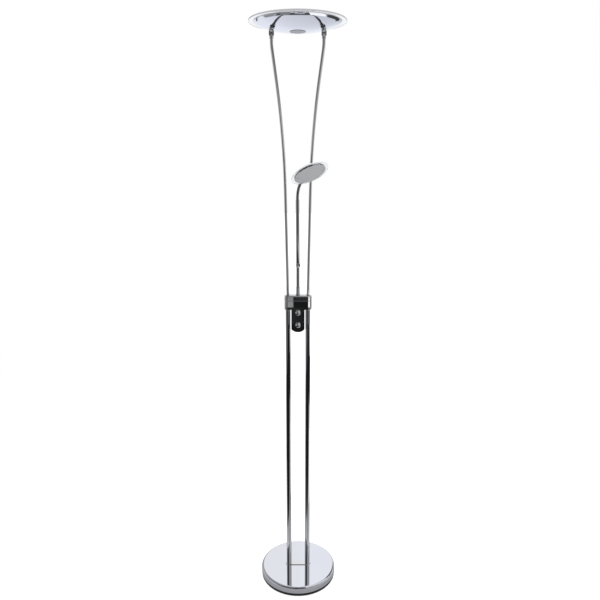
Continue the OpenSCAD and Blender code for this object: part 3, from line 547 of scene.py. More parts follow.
def housing_block(front, back):
    """Slab with a straight top and sides and an arched lower edge."""
    block = rod_shape(ARCH_R, back - front, (0, (front + back) / 2, ARCH_Z), "Y", 160)
    sides = [((side * HOUSING_HALF, 0, 0), (side, 0, 0)) for side in (1, -1)]
    for spot, facing in (*sides, ((0, 0, ARCH_Z), (0, 0, 1))):
        edit()
        bpy.ops.mesh.bisect(plane_co=[c * MM for c in spot], plane_no=facing, use_fill=True, clear_outer=True)
    hold(block, "polygons", lambda face: face.normal.z > 0.9 and face.center.z > (ARCH_Z - 0.1) * MM)
    bpy.ops.mesh.select_mode(type="FACE")
    bpy.ops.mesh.extrude_region_move(TRANSFORM_OT_translate={"value": (0, 0, (HOUSING_TOP - ARCH_Z) * MM)})
    bpy.ops.mesh.select_mode(type="VERT")
    edit()
    bpy.ops.mesh.dissolve_limited(angle_limit=math.radians(0.5))
    leave_edit()
    return block


def dimmer_case():
    """Hollow chrome housing, open at the back, with bosses for the cover's screws."""
    low, high = low_high("dimmer_housing")
    case = housing_block(low.y, high.y)
    hold(case, "polygons", lambda face: face.normal.y > 0.9)
    bpy.ops.mesh.delete(type="FACE")
    pick(case)
    walls = case.modifiers.new("walls", "SOLIDIFY")
    walls.thickness = 1.6 * MM
    walls.offset = -1
    walls.use_even_offset = True
    bpy.ops.object.modifier_apply(modifier=walls.name)
    soften_edges(case, 0.45, 3, 50)
    holes = [rod_shape(3.55, 8, (0, low.y, z), "Y", 32) for z in KNOB_HEIGHTS]
    holes.append(rod_shape(4.5, 8, (0, 0, HOUSING_TOP), "Z", 32))
    holes.extend(rod_shape(2.1, 8, (x, 2.5, HOUSING_TOP), "Z", 24) for x in (-9, 9))
    cut_away(case, *holes)
    bosses = [put(turned(tube_profile(1.35, 2.9, 0, high.y - low.y - 2.2, 0.15), 24), facing_back(x, low.y + 1.9, z))
              for x, z in BACK_SCREWS]
    true_flats(finished(join(case, *bosses), "dimmer_case", chrome, "stand", ["dimmer_housing"]))
    low, high = low_high("dimmer_back")
    plate = housing_block(low.y, high.y)
    soften_edges(plate, 0.4, 2, 50)
    cut_away(plate, *[rod_shape(1.4, 8, (x, high.y, z), "Y", 24) for x, z in BACK_SCREWS])
    true_flats(finished(plate, "dimmer_back_plate", black_enamel, "stand", ["dimmer_back"]))


def back_plate_screws():
    low, high = low_high("back_screws")
    head = 1.2
    screws = []
    for x, z in BACK_SCREWS:
        slant = Matrix.Rotation(0.9 if x > 0 else -0.1, 4, "Z")
        screw = slotted_screw(2.3, head, 1.3, high.y - low.y - head, 0.6, 0.4)
        screws.append(put(screw, facing_back(x, high.y - head, z) @ slant))
    finished(join(*screws), "back_plate_screw_set", plain_steel, "stand", ["back_screws"])


def dimmer_knobs():
    """Two domed chrome knobs with a hollow skirt."""
    half, rise, top = 7, 3, 10
    dome_r = (half ** 2 + rise ** 2) / (2 * rise)
    angles = [math.asin(half / dome_r) * (1 - k / 12) for k in range(13)]
    dome = [(dome_r * math.sin(a), top - dome_r + dome_r * math.cos(a)) for a in angles]
    for word in ("upper_knob", "lower_knob"):
        low, high = low_high(word)
        knob = turned([(0, 6), (3.05, 6), (3.05, 3.6), (6.2, 3.6), (6.2, 0), (7.7, 0), (8, 0.3), (8, 0.7), (8, 6.1),
                       *arc((7.3, 6.3), 0.7, 0, 80, 5), (7.2, 6.98), *dome], 96)
        place = shift(0, high.y, (low.z + high.z) / 2) @ turn_by(90, "X")
        finished(knob, "domed_" + word, knob_chrome, word, [word], place=place, angle=35)


# ---- upper rods

ROD_FOOT, FLARE_START, FLARE_END, EASE_START, EASE_END = 1000.5, 1329.5, 1639.5, 1723.8, 1737.8
LOW_SLOPE = 0.02
KNUCKLE_X, PIVOT_Z = 75, 1766
BALL_R, BOWL_FLAT, BOWL_FOOT = 375, 23, 1771


def rod_slope_at(z, top_slope):
    """How far a rod runs outward for each millimetre of height."""
    if z < ROD_FOOT:
        return 0.0
    if z < FLARE_START:
        return LOW_SLOPE
    if z < FLARE_END:
        return LOW_SLOPE + (top_slope - LOW_SLOPE) * (z - FLARE_START) / (FLARE_END - FLARE_START)
    if z < EASE_START:
        return top_slope
    return top_slope * max(0.0, EASE_END - z) / (EASE_END - EASE_START)


def flared_rods():
    """Two polished rods that rise nearly straight and flare outward to their knuckles."""
    low, high = low_high("upper_rod_right")
    rise, flare, ease = FLARE_START - ROD_FOOT, FLARE_END - FLARE_START, EASE_END - EASE_START
    slope = (KNUCKLE_X - TUBE_X - LOW_SLOPE * (rise + flare / 2)) / (flare / 2 + EASE_START - FLARE_END + ease / 2)
    heights = [low.z, ROD_FOOT, *[ROD_FOOT + rise * k / 6 for k in range(1, 7)],
               *[FLARE_START + flare * k / 40 for k in range(1, 41)], 1680, 1715, EASE_START,
               *[EASE_START + ease * k / 8 for k in range(1, 9)], 1745, high.z]
    points, x, z_last, steps = [], TUBE_X, low.z, 20
    for z in heights:
        for k in range(steps):
            z_mid = z_last + (z - z_last) * (k + 0.5) / steps
            x += rod_slope_at(z_mid, slope) * (z - z_last) / steps
        points.append((x, z))
        z_last = z
    for side, word in TUBES:
        rod = pulled_bar([(side * px, 0, pz) for px, pz in points], [ROD_R] * len(points), 36)
        finished(rod, "flared_rod_" + word, drawn_chrome, "stand", ["upper_rod_" + word], angle=40)


def rod_knuckles():
    """Socket and round-ended tongue on each rod, and the fork that hangs under the bowl."""
    for side, word in TUBES:
        x = side * KNUCKLE_X
        pivot, over_rod = (x, 0, PIVOT_Z), shift(x, 0, 0)
        socket = put(turned([(0, 1757.8), (4.85, 1757.8), (4.85, 1751.8), (5.8, 1751.8), (6.2, 1752.2), (6.2, 1752.6),
                             (6.2, 1758.0), (6.2, 1758.4), (5.8, 1758.8), (0, 1758.8)], 64), over_rod)
        tab = cut_away(round_ended_tab(6, 5, 7.2, pivot, up=False), rod_shape(2.55, 12, pivot, "X", 32))
        true_flats(finished(join(socket, tab), "rod_knuckle_tongue_" + word, chrome, "stand", ["rod_knuckle_" + word]))

        cheeks = []
        for centre in ((x - 5.05, 0, PIVOT_Z), (x + 5.05, 0, PIVOT_Z)):
            cheeks.append(cut_away(round_ended_tab(6.3, 4.5, 6.6, centre), rod_shape(2.55, 12, centre, "X", 32)))
        disc = put(turned(guarded(chamfered(7.3, 1772.6, 1782, 0.4)), 64), over_rod)
        lean = math.asin(KNUCKLE_X / BALL_R)
        under = BOWL_FOOT + math.sqrt(BALL_R ** 2 - BOWL_FLAT ** 2) - math.sqrt(BALL_R ** 2 - KNUCKLE_X ** 2)
        edit()
        bpy.ops.mesh.bisect(plane_co=(x * MM, 0, under * MM), plane_no=(-side * math.sin(lean), 0, math.cos(lean)),
                            use_fill=True, clear_outer=True)
        leave_edit()
        node = "head_lug_" + word
        stud = put(turned(guarded(chamfered(3, 1773, low_high(node)[1].z, 0.4)), 32), over_rod)
        true_flats(finished(join(*cheeks, disc, stud), "bowl_fork_" + word, chrome, "uplight_head", [node]))


def tilt_pin_pair():
    pins = []
    for side in (-1, 1):
        pin = cut_away(turned(guarded(chamfered(2.5, -7.3, 7.3, 0.4)), 48), slot_shape(8, 0.8, 1.6, 7.3))
        slant = Matrix.Rotation(0.5, 4, "Z")
        pins.append(put(pin, shift(side * KNUCKLE_X, 0, PIVOT_Z) @ turn_by(side * 90, "Y") @ slant))
    finished(join(*pins), "slotted_tilt_pins", plain_steel, "uplight_head", ["tilt_pins"])


# ---- uplight head

def spun_bowl():
    """Shallow spun bowl with a flat middle, a crisp knee and a steep rim band."""
    low, high = low_high("bowl")
    r, base, rim, wall = high.x, low.z, high.z, 1.2
    centre = base + math.sqrt(BALL_R ** 2 - BOWL_FLAT ** 2)
    knee_r = r - 7

    def ball_z(radius, ball_r=BALL_R):
        """Height of the ball that the bowl's wall follows."""
        return centre - math.sqrt(ball_r ** 2 - radius ** 2)

    def ball_points(start, end, count, ball_r=BALL_R):
        radii = [start + (end - start) * k / count for k in range(count + 1)]
        return [(radius, ball_z(radius, ball_r)) for radius in radii]

    knee_z = ball_z(knee_r)
    lean = (r - knee_r) / (rim - knee_z)
    near_knee = knee_r - 0.25
    outside = [(0, base), (BOWL_FLAT - 0.4, base), *ball_points(BOWL_FLAT + 0.4, knee_r - 0.6, 24),
               (near_knee, ball_z(near_knee) + 0.03), (knee_r + 0.1, knee_z + 0.2),
               (knee_r + 0.6 * lean, knee_z + 0.65), (r - 0.6, rim - 0.5), (r - 0.2, rim - 0.15), (r - 0.6, rim)]
    knee_in, inner_ball = knee_r - 0.5, BALL_R - wall
    shell = ball_points(knee_in, BOWL_FLAT, 16, inner_ball)
    inside = [(r - 1.6, rim), (r - 1.9, rim - 0.3), (knee_in + 0.1, shell[0][1] + 0.3), *shell,
              (BOWL_FLAT - 1, base + wall), (0, base + wall)]
    bowl = turned(guarded([*outside, *inside], 0.4, 30), 192)
    cut_away(bowl, *[rod_shape(3.1, 14, (x, 0, z), "Z", 32) for x, z in ((-75, base + 5), (0, base), (75, base + 5))])
    finished(bowl, "spun_chrome_bowl", spun_chrome, "uplight_head", ["bowl"], angle=25)


EDGE = 0.7


def ground_edge_profile(r, z0, z1):
    """The ground edge of a glass disc: a thin band with small chamfers, a hair outside the clear part."""
    inner, c = r - EDGE + 0.02, 0.5
    return [(inner, z0), (r - c, z0), (r, z0 + c), (r, z1 - c), (r - c, z1), (inner, z1), (inner, z0)]


def middle_cap():
    low, high = low_high("centre_cap")
    rim = low.z + 1.2
    cap = turned(guarded([(0, low.z), *arc((high.x - 0.5, low.z + 0.5), 0.5, -90, 0, 4), (high.x, rim), (3, rim),
                          (3, high.z - 0.4), (2.6, high.z), (0, high.z)]), 128)
    finished(cap, "satin_middle_cap", grey_enamel, "uplight_head", ["centre_cap"])


def uplight_top():
    """Rim seal, opal disc and the clear disc that stands out past the bowl."""
    low, high = low_high("rim_gasket")
    seal = turned(tube_profile(high.x - 4, high.x - 0.2, low.z, high.z - 0.05, 0.2), 160)
    finished(seal, "pale_rim_seal_ring", clear_rubber, "uplight_head", ["rim_gasket"])
    low, high = low_high("diffuser")
    disc = turned(guarded(chamfered(high.x, low.z - 0.15, high.z - 0.15, 0.4)), 160)
    finished(disc, "opal_light_disc", opal, "uplight_head", ["diffuser"])
    low, high = low_high("glass_disc")
    pane = turned(guarded([(0, low.z), (high.x - EDGE, low.z), (high.x - EDGE, high.z), (0, high.z)]), 192)
    true_flats(finished(pane, "clear_glass_disc", glass, "uplight_head", ["glass_disc"]))
    edge = turned(guarded(ground_edge_profile(high.x - 0.05, low.z, high.z)), 192)
    true_flats(finished(edge, "ground_glass_edge", ground_glass, "uplight_head", ["glass_disc"]))


# ---- reading arm

HINGE_Z = 1096
BEND, BEND_R = math.radians(54), 64
ARM = shift(0, 0, HINGE_Z) @ turn_by(3, "X") @ turn_by(-0.3, "Y")
NECK = ARM @ shift(0, 0, 206) @ turn_by(-62, "Z")
NECK_END = (NECK @ shift(BEND_R * (1 - math.cos(BEND)), 0, BEND_R * math.sin(BEND))
            @ Matrix.Rotation(BEND, 4, "Y") @ turn_by(5, "Z"))
HEAD = NECK_END @ shift(10.3, 0, 56) @ turn_by(90, "Y")


def arm_ferrule():
    """Ferrule that stands on the collar, with its nipple through the cap, and the post that turns in it."""
    low, high = low_high("arm_socket")
    collar_top, seat = 1000.5, 1003.5
    ferrule = turned(guarded([
        (2.5, low.z), (4.7, low.z), (5, low.z + 0.3), (5, collar_top), (6.5, collar_top), (6.7, collar_top + 0.2),
        (6.7, high.z - 0.5), *arc((6.2, high.z - 0.5), 0.5, 15, 90, 3), (5.3, high.z), (5.05, high.z - 0.25),
        (5.05, seat), (2.5, seat), (2.5, low.z)]), 96)
    finished(ferrule, "arm_ferrule", chrome, "stand", ["arm_socket"])
    low, high = low_high("reading_post")
    post = turned(tube_profile(4, 5, low.z, high.z, 0.2), 64)
    finished(post, "swivel_post", arm_chrome, "reading_post", ["reading_post"])


def arm_hinge():
    """Tongue on the post, fork on the arm, and the slotted pin through both."""
    top = HINGE_Z - 6.6
    collar_ring = turned(guarded([
        (0, top - 9.2), (3.6, top - 9.2), (3.95, top - 8.8), (3.95, top - 1.2), (6.4, top - 1.2),
        (6.7, top - 0.9), (6.7, top - 0.3), (6.4, top), (0, top)]), 64)
    pivot = (0, 0, HINGE_Z)
    tab = cut_away(round_ended_tab(6, 4, 6.6, pivot, up=False), rod_shape(2.05, 12, pivot, "X", 32))
    true_flats(finished(join(collar_ring, tab), "post_tongue", chrome, "reading_post", ["post_knuckle"]))

    parts = []
    for centre in ((-3.9, 0, 0), (3.9, 0, 0)):
        parts.append(cut_away(round_ended_tab(6, 3.2, 6.9, centre), rod_shape(2.05, 12, centre, "X", 32)))
    parts.append(turned(guarded([(0, 6.3), (6, 6.3), (6.3, 6.6), (6.3, 7.2), (6, 7.5), (4.45, 7.5), (4.45, 15),
                                 (4.1, 15.5), (0, 15.5)]), 64))
    true_flats(finished(join(*parts), "arm_fork", chrome, "reading_arm", ["arm_knuckle"], place=ARM))

    pin = slotted_screw(4, 1.6, 2, 11, 0.9, 0.5)
    place = ARM @ shift(5.5, 0, 0) @ turn_by(90, "Y")
    finished(pin, "slotted_hinge_pin", plain_steel, "reading_arm", ["arm_pin"], place=place)


def arm_tube():
    tube = turned(tube_profile(4.5, 5.5, 7.5, 201, 0.4), 96)
    finished(tube, "reading_arm_tube", arm_chrome, "reading_arm", ["reading_tube"], place=ARM)


def ribbed_neck():
    """Flexible neck: fine rounded ribs round one even bend, straight at both ends."""
    ribs, per_rib, length = 20, 8, BEND * BEND_R
    plain_r, groove_r, rib_height = 4.45, 4.0, 0.5
    points, radii = [], []

    def station(s, radius):
        """A point at a length along the neck, and the neck's radius there."""
        a = max(0.0, min(length, s)) / BEND_R
        rest = s if s < 0 else max(0.0, s - length)
        across, up = BEND_R * (1 - math.cos(a)), BEND_R * math.sin(a)
        points.append((across + rest * math.sin(a), 0, up + rest * math.cos(a)))
        radii.append(radius)

    station(-9, plain_r)
    station(-0.4, plain_r)
    for k in range(ribs * per_rib + 1):
        wave = abs(math.sin(math.pi * k / per_rib))
        station(length * k / (ribs * per_rib), groove_r + rib_height * wave ** 0.7)
    station(length + 0.5, plain_r)
    station(length + 9, plain_r)
    neck = pulled_bar(points, radii, 32)
    finished(neck, "ribbed_flexible_neck", arm_chrome, None, ["reading_neck"], place=NECK, angle=50)
    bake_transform(neck)


# ---- reading head

FACE_R, GLASS_R, GLASS_FRONT, GLASS_BACK, SHELL_BACK, NECK_AT = 47.5, 56.5, -2, -5, -16, -10.3
FACE_SCREWS = [turn_by(turn, "Z") @ shift(38, 0, 0) for turn in (110, 290)]


def shell_profile(inset):
    """The shell's outline from its lip to the middle of its flat back."""
    flat, lip, depth = FACE_R * 0.45, 1, GLASS_BACK - SHELL_BACK
    angles = [math.pi / 2 * k / 14 for k in range(15)]
    return [(flat + (FACE_R - inset - flat) * math.cos(a), GLASS_BACK - lip - (depth - inset - lip) * math.sin(a))
            for a in angles]


def head_shell():
    """Spun chrome shell behind the glass, with two screw bosses and the hole for the neck."""
    outside = [(FACE_R - 0.3, GLASS_BACK), (FACE_R, GLASS_BACK - 0.3), *shell_profile(0), (0, SHELL_BACK)]
    inside = [(0, SHELL_BACK + 1), *reversed(shell_profile(1)), (FACE_R - 1, GLASS_BACK), (FACE_R - 0.3, GLASS_BACK)]
    shell = turned(guarded([*outside, *inside], 0.4, 4), 160)
    cut_away(shell, rod_shape(4.6, 60, (35, 0, NECK_AT), "X", 48))
    boss = tube_profile(1.35, 3, SHELL_BACK + 0.6, -2.05, 0.2)
    bosses = join(*[put(turned(boss, 32), place) for place in FACE_SCREWS])
    beyond = 60
    outer = turned([(beyond, SHELL_BACK - 0.5), (beyond, -1), (46, -1), (46, GLASS_BACK), *shell_profile(0.5)[1:],
                    (0, SHELL_BACK + 0.5), (0, SHELL_BACK - 0.5), (beyond, SHELL_BACK - 0.5)], 96)
    cut_away(bosses, outer)
    finished(join(shell, bosses), "reading_head_shell", spun_chrome, "reading_head", ["reading_shell"], place=HEAD)

    sleeve = put(turned(tube_profile(4.6, 5.3, 26, 54.5, 0.3), 64), shift(0, 0, NECK_AT) @ turn_by(90, "Y"))
    cut_away(sleeve, turned([(0, GLASS_BACK), (FACE_R, GLASS_BACK), *shell_profile(0), (0, SHELL_BACK)], 96))
    finished(sleeve, "neck_sleeve", knob_chrome, "reading_head", ["neck_socket"], place=HEAD)


def head_face():
    """Clear glass ring with its ground edge, the chrome cap on it, the satin face let into the cap, and its screws."""
    back, front, bore, outer = GLASS_BACK + 0.04, GLASS_FRONT - 0.04, 42.5, GLASS_R - EDGE
    pane = [(bore, back), (outer, back), (outer, front), (bore, front), (bore, back)]
    for profile, name, finish in ((pane, "reading_glass_ring", glass),
                                  (ground_edge_profile(GLASS_R, back, front), "reading_glass_edge", fine_ground_glass)):
        ring = turned(guarded(profile), 160)
        true_flats(finished(ring, name, finish, "reading_head", ["reading_glass"], place=HEAD))
    edge, sunk = FACE_R - 0.5, -0.6
    cap = [(0, GLASS_FRONT), (FACE_R - 0.3, GLASS_FRONT), (FACE_R, GLASS_FRONT + 0.3),
           *arc((edge, -0.5), 0.5, 0, 90, 5), (edge - 0.1, 0), (edge - 0.1, sunk), (0, sunk)]
    face = [(0, sunk), (edge - 0.15, sunk), (edge - 0.15, -0.05), (edge - 0.2, 0), (0, 0)]
    for profile, name, finish, slot in ((cap, "chrome_face_cap", chrome, "chrome"),
                                        (face, "satin_face_plate", face_enamel, "grey_metal")):
        holes = [put(rod_shape(1.35, 12, (0, 0, 0), "Z", 24), place) for place in FACE_SCREWS]
        plate = cut_away(turned(guarded(profile), 160), *holes)
        true_flats(finished(plate, name, finish, "reading_head", ["face_plate"], place=HEAD))
    screws = [put(slotted_screw(2.2, 0.6, 1.25, 12, 0.5, 0.3), place) for place in FACE_SCREWS]
    finished(join(*screws), "face_screw_pair", plain_steel, "reading_head", ["face_screws"], place=HEAD)


# ---- parts kept from the frame

INNER_FINISHES = (
    (plain_steel, "ring_screws stud_inserts tube_studs stud_washers stud_nuts rod_bushes housing_screws"),
    (plain_steel, "potentiometers pot_nuts head_nuts socket_nut"),
    (turned_brass, "upper_spindle lower_spindle"),
    (cast_iron, "base_weight"),
    (rolled_aluminium, "heat_plate"),
    (black_plastic, "led_driver"),
    (board_green, "dimmer_board"),
    (board_white, "led_board reading_board"),
    (chip_yellow, "led_chips reading_chips"),
)


def dress_inner_parts():
    for finish, parts in INNER_FINISHES:
        for part in parts.split():
            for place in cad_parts[part].material_slots:
                place.material = finish


# ---- room, light and camera

def math_node(nodes, links, kind, first, second=None, third=None):
    node = nodes.new("ShaderNodeMath")
    node.operation = kind
    for socket, value in zip(node.inputs, (first, second, third)):
        if value is None:
            continue
        if isinstance(value, (int, float)):
            socket.default_value = value
        else:
            links.new(value, socket)
    return node.outputs[0]


def inside(nodes, links, value, low, high, soft):
    """One between low and high, nought outside, with an edge as wide as soft."""
    middle, half = (low + high) / 2, (high - low) / 2
    away = math_node(nodes, links, "ABSOLUTE", math_node(nodes, links, "SUBTRACT", value, middle))
    edge = nodes.new("ShaderNodeMapRange")
    edge.inputs["From Min"].default_value = half + soft / 2
    edge.inputs["From Max"].default_value = half - soft / 2
    links.new(away, edge.inputs["Value"])
    return edge.outputs["Result"]


def who_looks(nodes, links):
    """Two masks: seen by the camera, straight or through glass; and seen in polished metal, also through glass."""
    paths = nodes.new("ShaderNodeLightPath")
    bounced = math_node(nodes, links, "GREATER_THAN", paths.outputs["Glossy Depth"], 0.5)
    through = paths.outputs["Is Transmission Ray"]
    straight = math_node(nodes, links, "MULTIPLY", through, math_node(nodes, links, "SUBTRACT", 1.0, bounced))
    direct = math_node(nodes, links, "MAXIMUM", paths.outputs["Is Camera Ray"], straight)
    mirrored = math_node(nodes, links, "MULTIPLY", through, bounced)
    in_metal = math_node(nodes, links, "MAXIMUM", paths.outputs["Is Glossy Ray"], mirrored)
    return direct, in_metal


def lay_card(nodes, links, under, across, up, card):
    """Lays one card over what is there: its sides, its lower and upper edge, its tone and how soft its edges are."""
    left, right, low, high, tone, soft_across, soft_up = card
    mask = math_node(nodes, links, "MULTIPLY", inside(nodes, links, across, left, right, soft_across),
                     inside(nodes, links, up, low, high, soft_up))
    return mix_colours(nodes, links, mask, under, (tone, tone, tone))


# Each card: from and to, round from the front towards the right, in degrees; from and to, up from level; its tone;
# how soft its edges are.
STUDIO_CARDS = [
    (-152, -60, -95, 12, 0.72, 8, 6),
    (60, 158, -95, 12, 0.78, 8, 6),
    (-140, -58, -95, -29, 0.19, 6, 5),
    (-104, -90, -72, -58, 0.02, 3, 3),
    (-62, 62, -95, -36, 0.34, 6, 4),
    (-150, -74, -38, -14.15, 0.33, 8, 0.1),
    (-78, -22, -38, -12.8, 0.13, 10, 0.1),
    (-26, 50, -38, -12.8, 0.012, 6, 0.1),
    (48, 80, -38, -14.15, 0.07, 8, 0.1),
    (-95, -50, -15.6, -14.15, 0.20, 10, 0.1),
    (-50, -3, -15.6, -14.15, 0.06, 8, 0.1),
    (3, 45, -15.6, -14.15, 0.10, 2, 0.1),
    (45, 100, -15.6, -14.15, 0.22, 8, 0.1),
    (-112, -62, -14.15, -12.8, 0.30, 10, 0.05),
    (-62, -35, -14.15, -12.8, 0.19, 6, 0.05),
    (-35, -10, -14.15, -12.8, 0.08, 4, 0.05),
    (-10, -0.72, -14.15, -12.8, 0.32, 0.1, 0.05),
    (9, 62, -14.15, -12.8, 1.25, 3, 0.05),
    (62, 98, -14.15, -12.8, 0.27, 5, 0.05),
    (98, 150, -14.15, -12.8, 0.14, 5, 0.05),
    (-62, -0.72, -13.27, -13.08, 0.20, 0.1, 0.03),
    (-0.72, 9, -13.27, -13.08, 0.066, 0.1, 0.03),
    (9, 62, -13.27, -13.08, 0.80, 0.1, 0.03),
    (-62, 2, -12.8, 3, 0.09, 8, 0.1),
    (2, 62, -12.8, 3, 0.24, 8, 0.1),
    (-62, 2, 3, 12, 0.22, 8, 3),
    (2, 62, 3, 12, 0.42, 8, 3),
    (-182, -115, 12, 62, 0.95, 3, 3),
    (-170, -112, 10, 62, 0.40, 6, 3),
    (-115, -48, 10, 82, 0.25, 6, 4),
    (-50, -18, 10, 30, 0.08, 5, 4),
    (-50, -18, 30, 82, 0.14, 5, 4),
    (-18, 24, 10, 44, 0.014, 5, 4),
    (-18, 32, 44, 80, 0.05, 5, 5),
    (26, 112, 10, 25, 0.20, 5, 4),
    (30, 104, 25, 56, 0.76, 5, 4),
    (32, 112, 56, 90, 0.66, 5, 4),
    (112, 150, 14, 32, 0.30, 5, 4),
    (112, 170, 32, 50, 0.09, 4, 3),
    (138, 170, 50, 62, 0.45, 4, 4),
    (-115, -62, 36.2, 40.2, 0.15, 4, 0.5),
    (-62, -22, 36.2, 40.2, 0.012, 4, 0.5),
    (-22, 0, 36.2, 40.2, 0.10, 6, 0.5),
    (0, 24, 36.2, 40.2, 0.45, 5, 0.5),
    (24, 68, 36.2, 40.2, 0.36, 5, 0.5),
    (68, 104, 36.2, 40.2, 0.50, 5, 0.5),
    (-182, -158, 10.5, 17, 0.70, 1, 1),
    (158, 182, 10.5, 17, 0.70, 1, 1),
]

# Each card on the floor: from and to along X, from and to along Y, in metres; its tone; how soft its edges are.
FLOOR_CARDS = [
    # The first card, grey across the floor in front of the lamp, is painted shade.
    (-9, 9, -9, -0.16, 0.36, 0.02, 0.04),
    (-9, -0.6, -0.33, 0.5, 0.19, 0.02, 0.05),
    (-1.0, -0.72, -0.1, 0.1, 0.02, 0.05, 0.05),
    (1.49, 9, -9, 0.9, 0.02, 0.02, 0.05),
    (-1.60, -0.84, 0.3, 1.5, 0.31, 0.3, 0.1),
    (-0.84, -0.30, -0.16, 1.4, 0.26, 0.02, 0.1),
    (-0.84, -0.66, 0.3, 1.0, 0.10, 0.02, 0.1),
    (0.46, 1.18, -0.16, 1.05, 1.18, 0.02, 0.1),
    (1.18, 2.35, 0.9, 4.4, 0.066, 0.04, 0.3),
    (-2.42, -2.06, 3.0, 5.2, 0.20, 0.1, 0.3),
]

# Dark in front of the lamp, with a slanted far edge, and a grey round one under the base, which is a painted shadow of
# the base: up is how far out it lies.
SLANTED_CARD = (-9, 9, -9, -0.33, 0.012, 0.1, 0.08)
BASE_SHADOW_CARD = (-9, 9, -1, 0.17, 0.36, 0.1, 0.04)

# The cards that the front of the bowl's rim sees, laid last.
RIM_CARDS = [
    (-0.30, 0.46, 0.055, 1.4, 0.22, 0.02, 0.01),
    (-0.30, 0.46, 0.085, 1.3, 0.085, 0.02, 0.03),
]


def studio_world():
    """White behind everything. Polished metal sees a studio with a white back and grey and dark cards in front."""
    world = bpy.data.worlds.new("studio")
    bpy.context.scene.world = world
    world.use_nodes = True
    nodes, links = world.node_tree.nodes, world.node_tree.links
    plain = nodes["Background"]
    coord = nodes.new("ShaderNodeTexCoord")
    split = nodes.new("ShaderNodeSeparateXYZ")
    links.new(coord.outputs["Generated"], split.inputs[0])
    towards = math_node(nodes, links, "MULTIPLY", split.outputs[1], -1.0)
    around = math_node(nodes, links, "DEGREES", math_node(nodes, links, "ARCTAN2", split.outputs[0], towards))
    height = math_node(nodes, links, "DEGREES", math_node(nodes, links, "ARCSINE", split.outputs[2]))
    seen_in_metal = (0.955, 0.965, 0.985)
    for card in STUDIO_CARDS:
        seen_in_metal = lay_card(nodes, links, seen_in_metal, around, height, card)

    direct, in_metal = who_looks(nodes, links)
    mirrored = nodes.new("ShaderNodeBackground")
    links.new(seen_in_metal, mirrored.inputs["Color"])
    white = nodes.new("ShaderNodeBackground")
    white.inputs["Color"].default_value = (1, 1, 1, 1)
    plain.inputs["Color"].default_value = (0.74, 0.75, 0.77, 1)
    shown = mix_shaders(nodes, links, in_metal, plain.outputs[0], mirrored.outputs[0])
    shown = mix_shaders(nodes, links, direct, shown, white.outputs[0])
    links.new(shown, nodes["World Output"].inputs["Surface"])


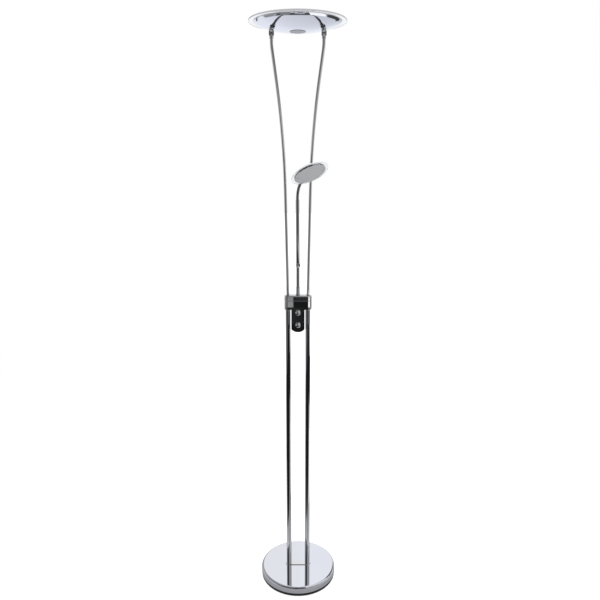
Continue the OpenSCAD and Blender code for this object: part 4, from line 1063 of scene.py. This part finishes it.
def studio_floor():
    """Plain white floor that keeps the lamp's shadow. Polished metal sees a pale floor glowing with fixed tones, with
    darker cards on it and painted shade: darker towards the front and right, and a painted shadow round the base.
    """
    start_clean()
    bpy.ops.mesh.primitive_plane_add(size=4.4, location=(0.2, 0.3, 0))
    floor = put(bpy.context.object)
    hold(floor, "vertices", lambda v: v.co.y > 2)
    bpy.ops.mesh.extrude_region_move(TRANSFORM_OT_translate={"value": (0, 12, 0)})
    bpy.ops.transform.resize(value=(3, 1, 1), center_override=(0, 0, 0))
    leave_edit()
    floor.name = "studio_floor"
    mat, nodes, links, shader, coord = finish_nodes("white_studio_floor")
    shader.inputs["Base Color"].default_value = (0.9, 0.9, 0.9, 1)
    shader.inputs["Roughness"].default_value = 0.9
    shader.inputs["Specular IOR Level"].default_value = 0.0
    shader.inputs["Emission Color"].default_value = (1, 1, 1, 1)
    direct, in_metal = who_looks(nodes, links)
    lift = 0.62
    links.new(math_node(nodes, links, "MULTIPLY", direct, lift), shader.inputs["Emission Strength"])

    split = nodes.new("ShaderNodeSeparateXYZ")
    links.new(coord.outputs["Object"], split.inputs[0])
    x, y = split.outputs[0], split.outputs[1]
    # Painted shade: the floor seen in metal goes from the darker near tone towards the front and right to the lighter
    # far tone towards the back and left.
    fade = nodes.new("ShaderNodeMapRange")
    fade.inputs["From Min"].default_value = -1
    fade.inputs["From Max"].default_value = 6.1
    links.new(math_node(nodes, links, "MULTIPLY_ADD", x, -2.4, y), fade.inputs["Value"])
    near_tone, far_tone = (0.595, 0.611, 0.654), (0.90, 0.926, 0.99)
    mirrored = mix_colours(nodes, links, fade.outputs["Result"], near_tone, far_tone)
    for card in FLOOR_CARDS:
        mirrored = lay_card(nodes, links, mirrored, x, y, card)
    slanted = math_node(nodes, links, "MULTIPLY_ADD", x, 0.35, y)
    mirrored = lay_card(nodes, links, mirrored, x, slanted, SLANTED_CARD)
    # Painted shadow: a grey round patch on the floor round the base, seen only in metal.
    squares = [math_node(nodes, links, "MULTIPLY", side, side) for side in (x, y)]
    reach = math_node(nodes, links, "SQRT", math_node(nodes, links, "ADD", *squares))
    mirrored = lay_card(nodes, links, mirrored, x, reach, BASE_SHADOW_CARD)
    for card in RIM_CARDS:
        mirrored = lay_card(nodes, links, mirrored, x, y, card)
    glow = nodes.new("ShaderNodeEmission")
    links.new(mirrored, glow.inputs["Color"])
    only_metal = math_node(nodes, links, "SUBTRACT", in_metal, direct)
    shown = mix_shaders(nodes, links, only_metal, shader.outputs[0], glow.outputs[0])
    below = nodes.new("ShaderNodeBsdfTransparent").outputs[0]
    facing = nodes.new("ShaderNodeNewGeometry")
    shown = mix_shaders(nodes, links, facing.outputs["Backfacing"], shown, below)
    links.new(shown, nodes["Material Output"].inputs["Surface"])
    floor.data.materials.append(mat)


def soft_top_light():
    """Broad soft light from above, which polished metal and glass don't show."""
    start_clean()
    bpy.ops.object.light_add(type="AREA", location=(0.2, -0.3, 3.3))
    lamp = bpy.context.object
    lamp.data.shape = "RECTANGLE"
    lamp.data.size = lamp.data.size_y = 3.0
    lamp.data.energy = 26
    lamp.visible_glossy = False
    lamp.visible_transmission = False


def photo_camera():
    """The camera as solved from the photograph: 1.42 m high, looking 13.27 degrees down."""
    down = 13.27
    start_clean()
    bpy.ops.object.camera_add(location=(0.0065, -1.8269, 1.4154), rotation=(math.radians(90 - down), 0, 0))
    camera = bpy.context.object
    camera.data.sensor_width = 36
    camera.data.lens = 35.69
    bpy.context.scene.camera = camera


start_clean()
felt_foot()
black_band()
base_dome()
inlet_grommet()
foot_plate()
lower_tubes()
collar()
collar_grub_screws()
dimmer_case()
back_plate_screws()
dimmer_knobs()
flared_rods()
rod_knuckles()
tilt_pin_pair()
spun_bowl()
middle_cap()
uplight_top()
arm_ferrule()
arm_hinge()
arm_tube()
ribbed_neck()
head_shell()
head_face()
dress_inner_parts()
studio_world()
studio_floor()
soft_top_light()
photo_camera()
bpy.context.scene.view_settings.view_transform = "Standard"

start_clean()
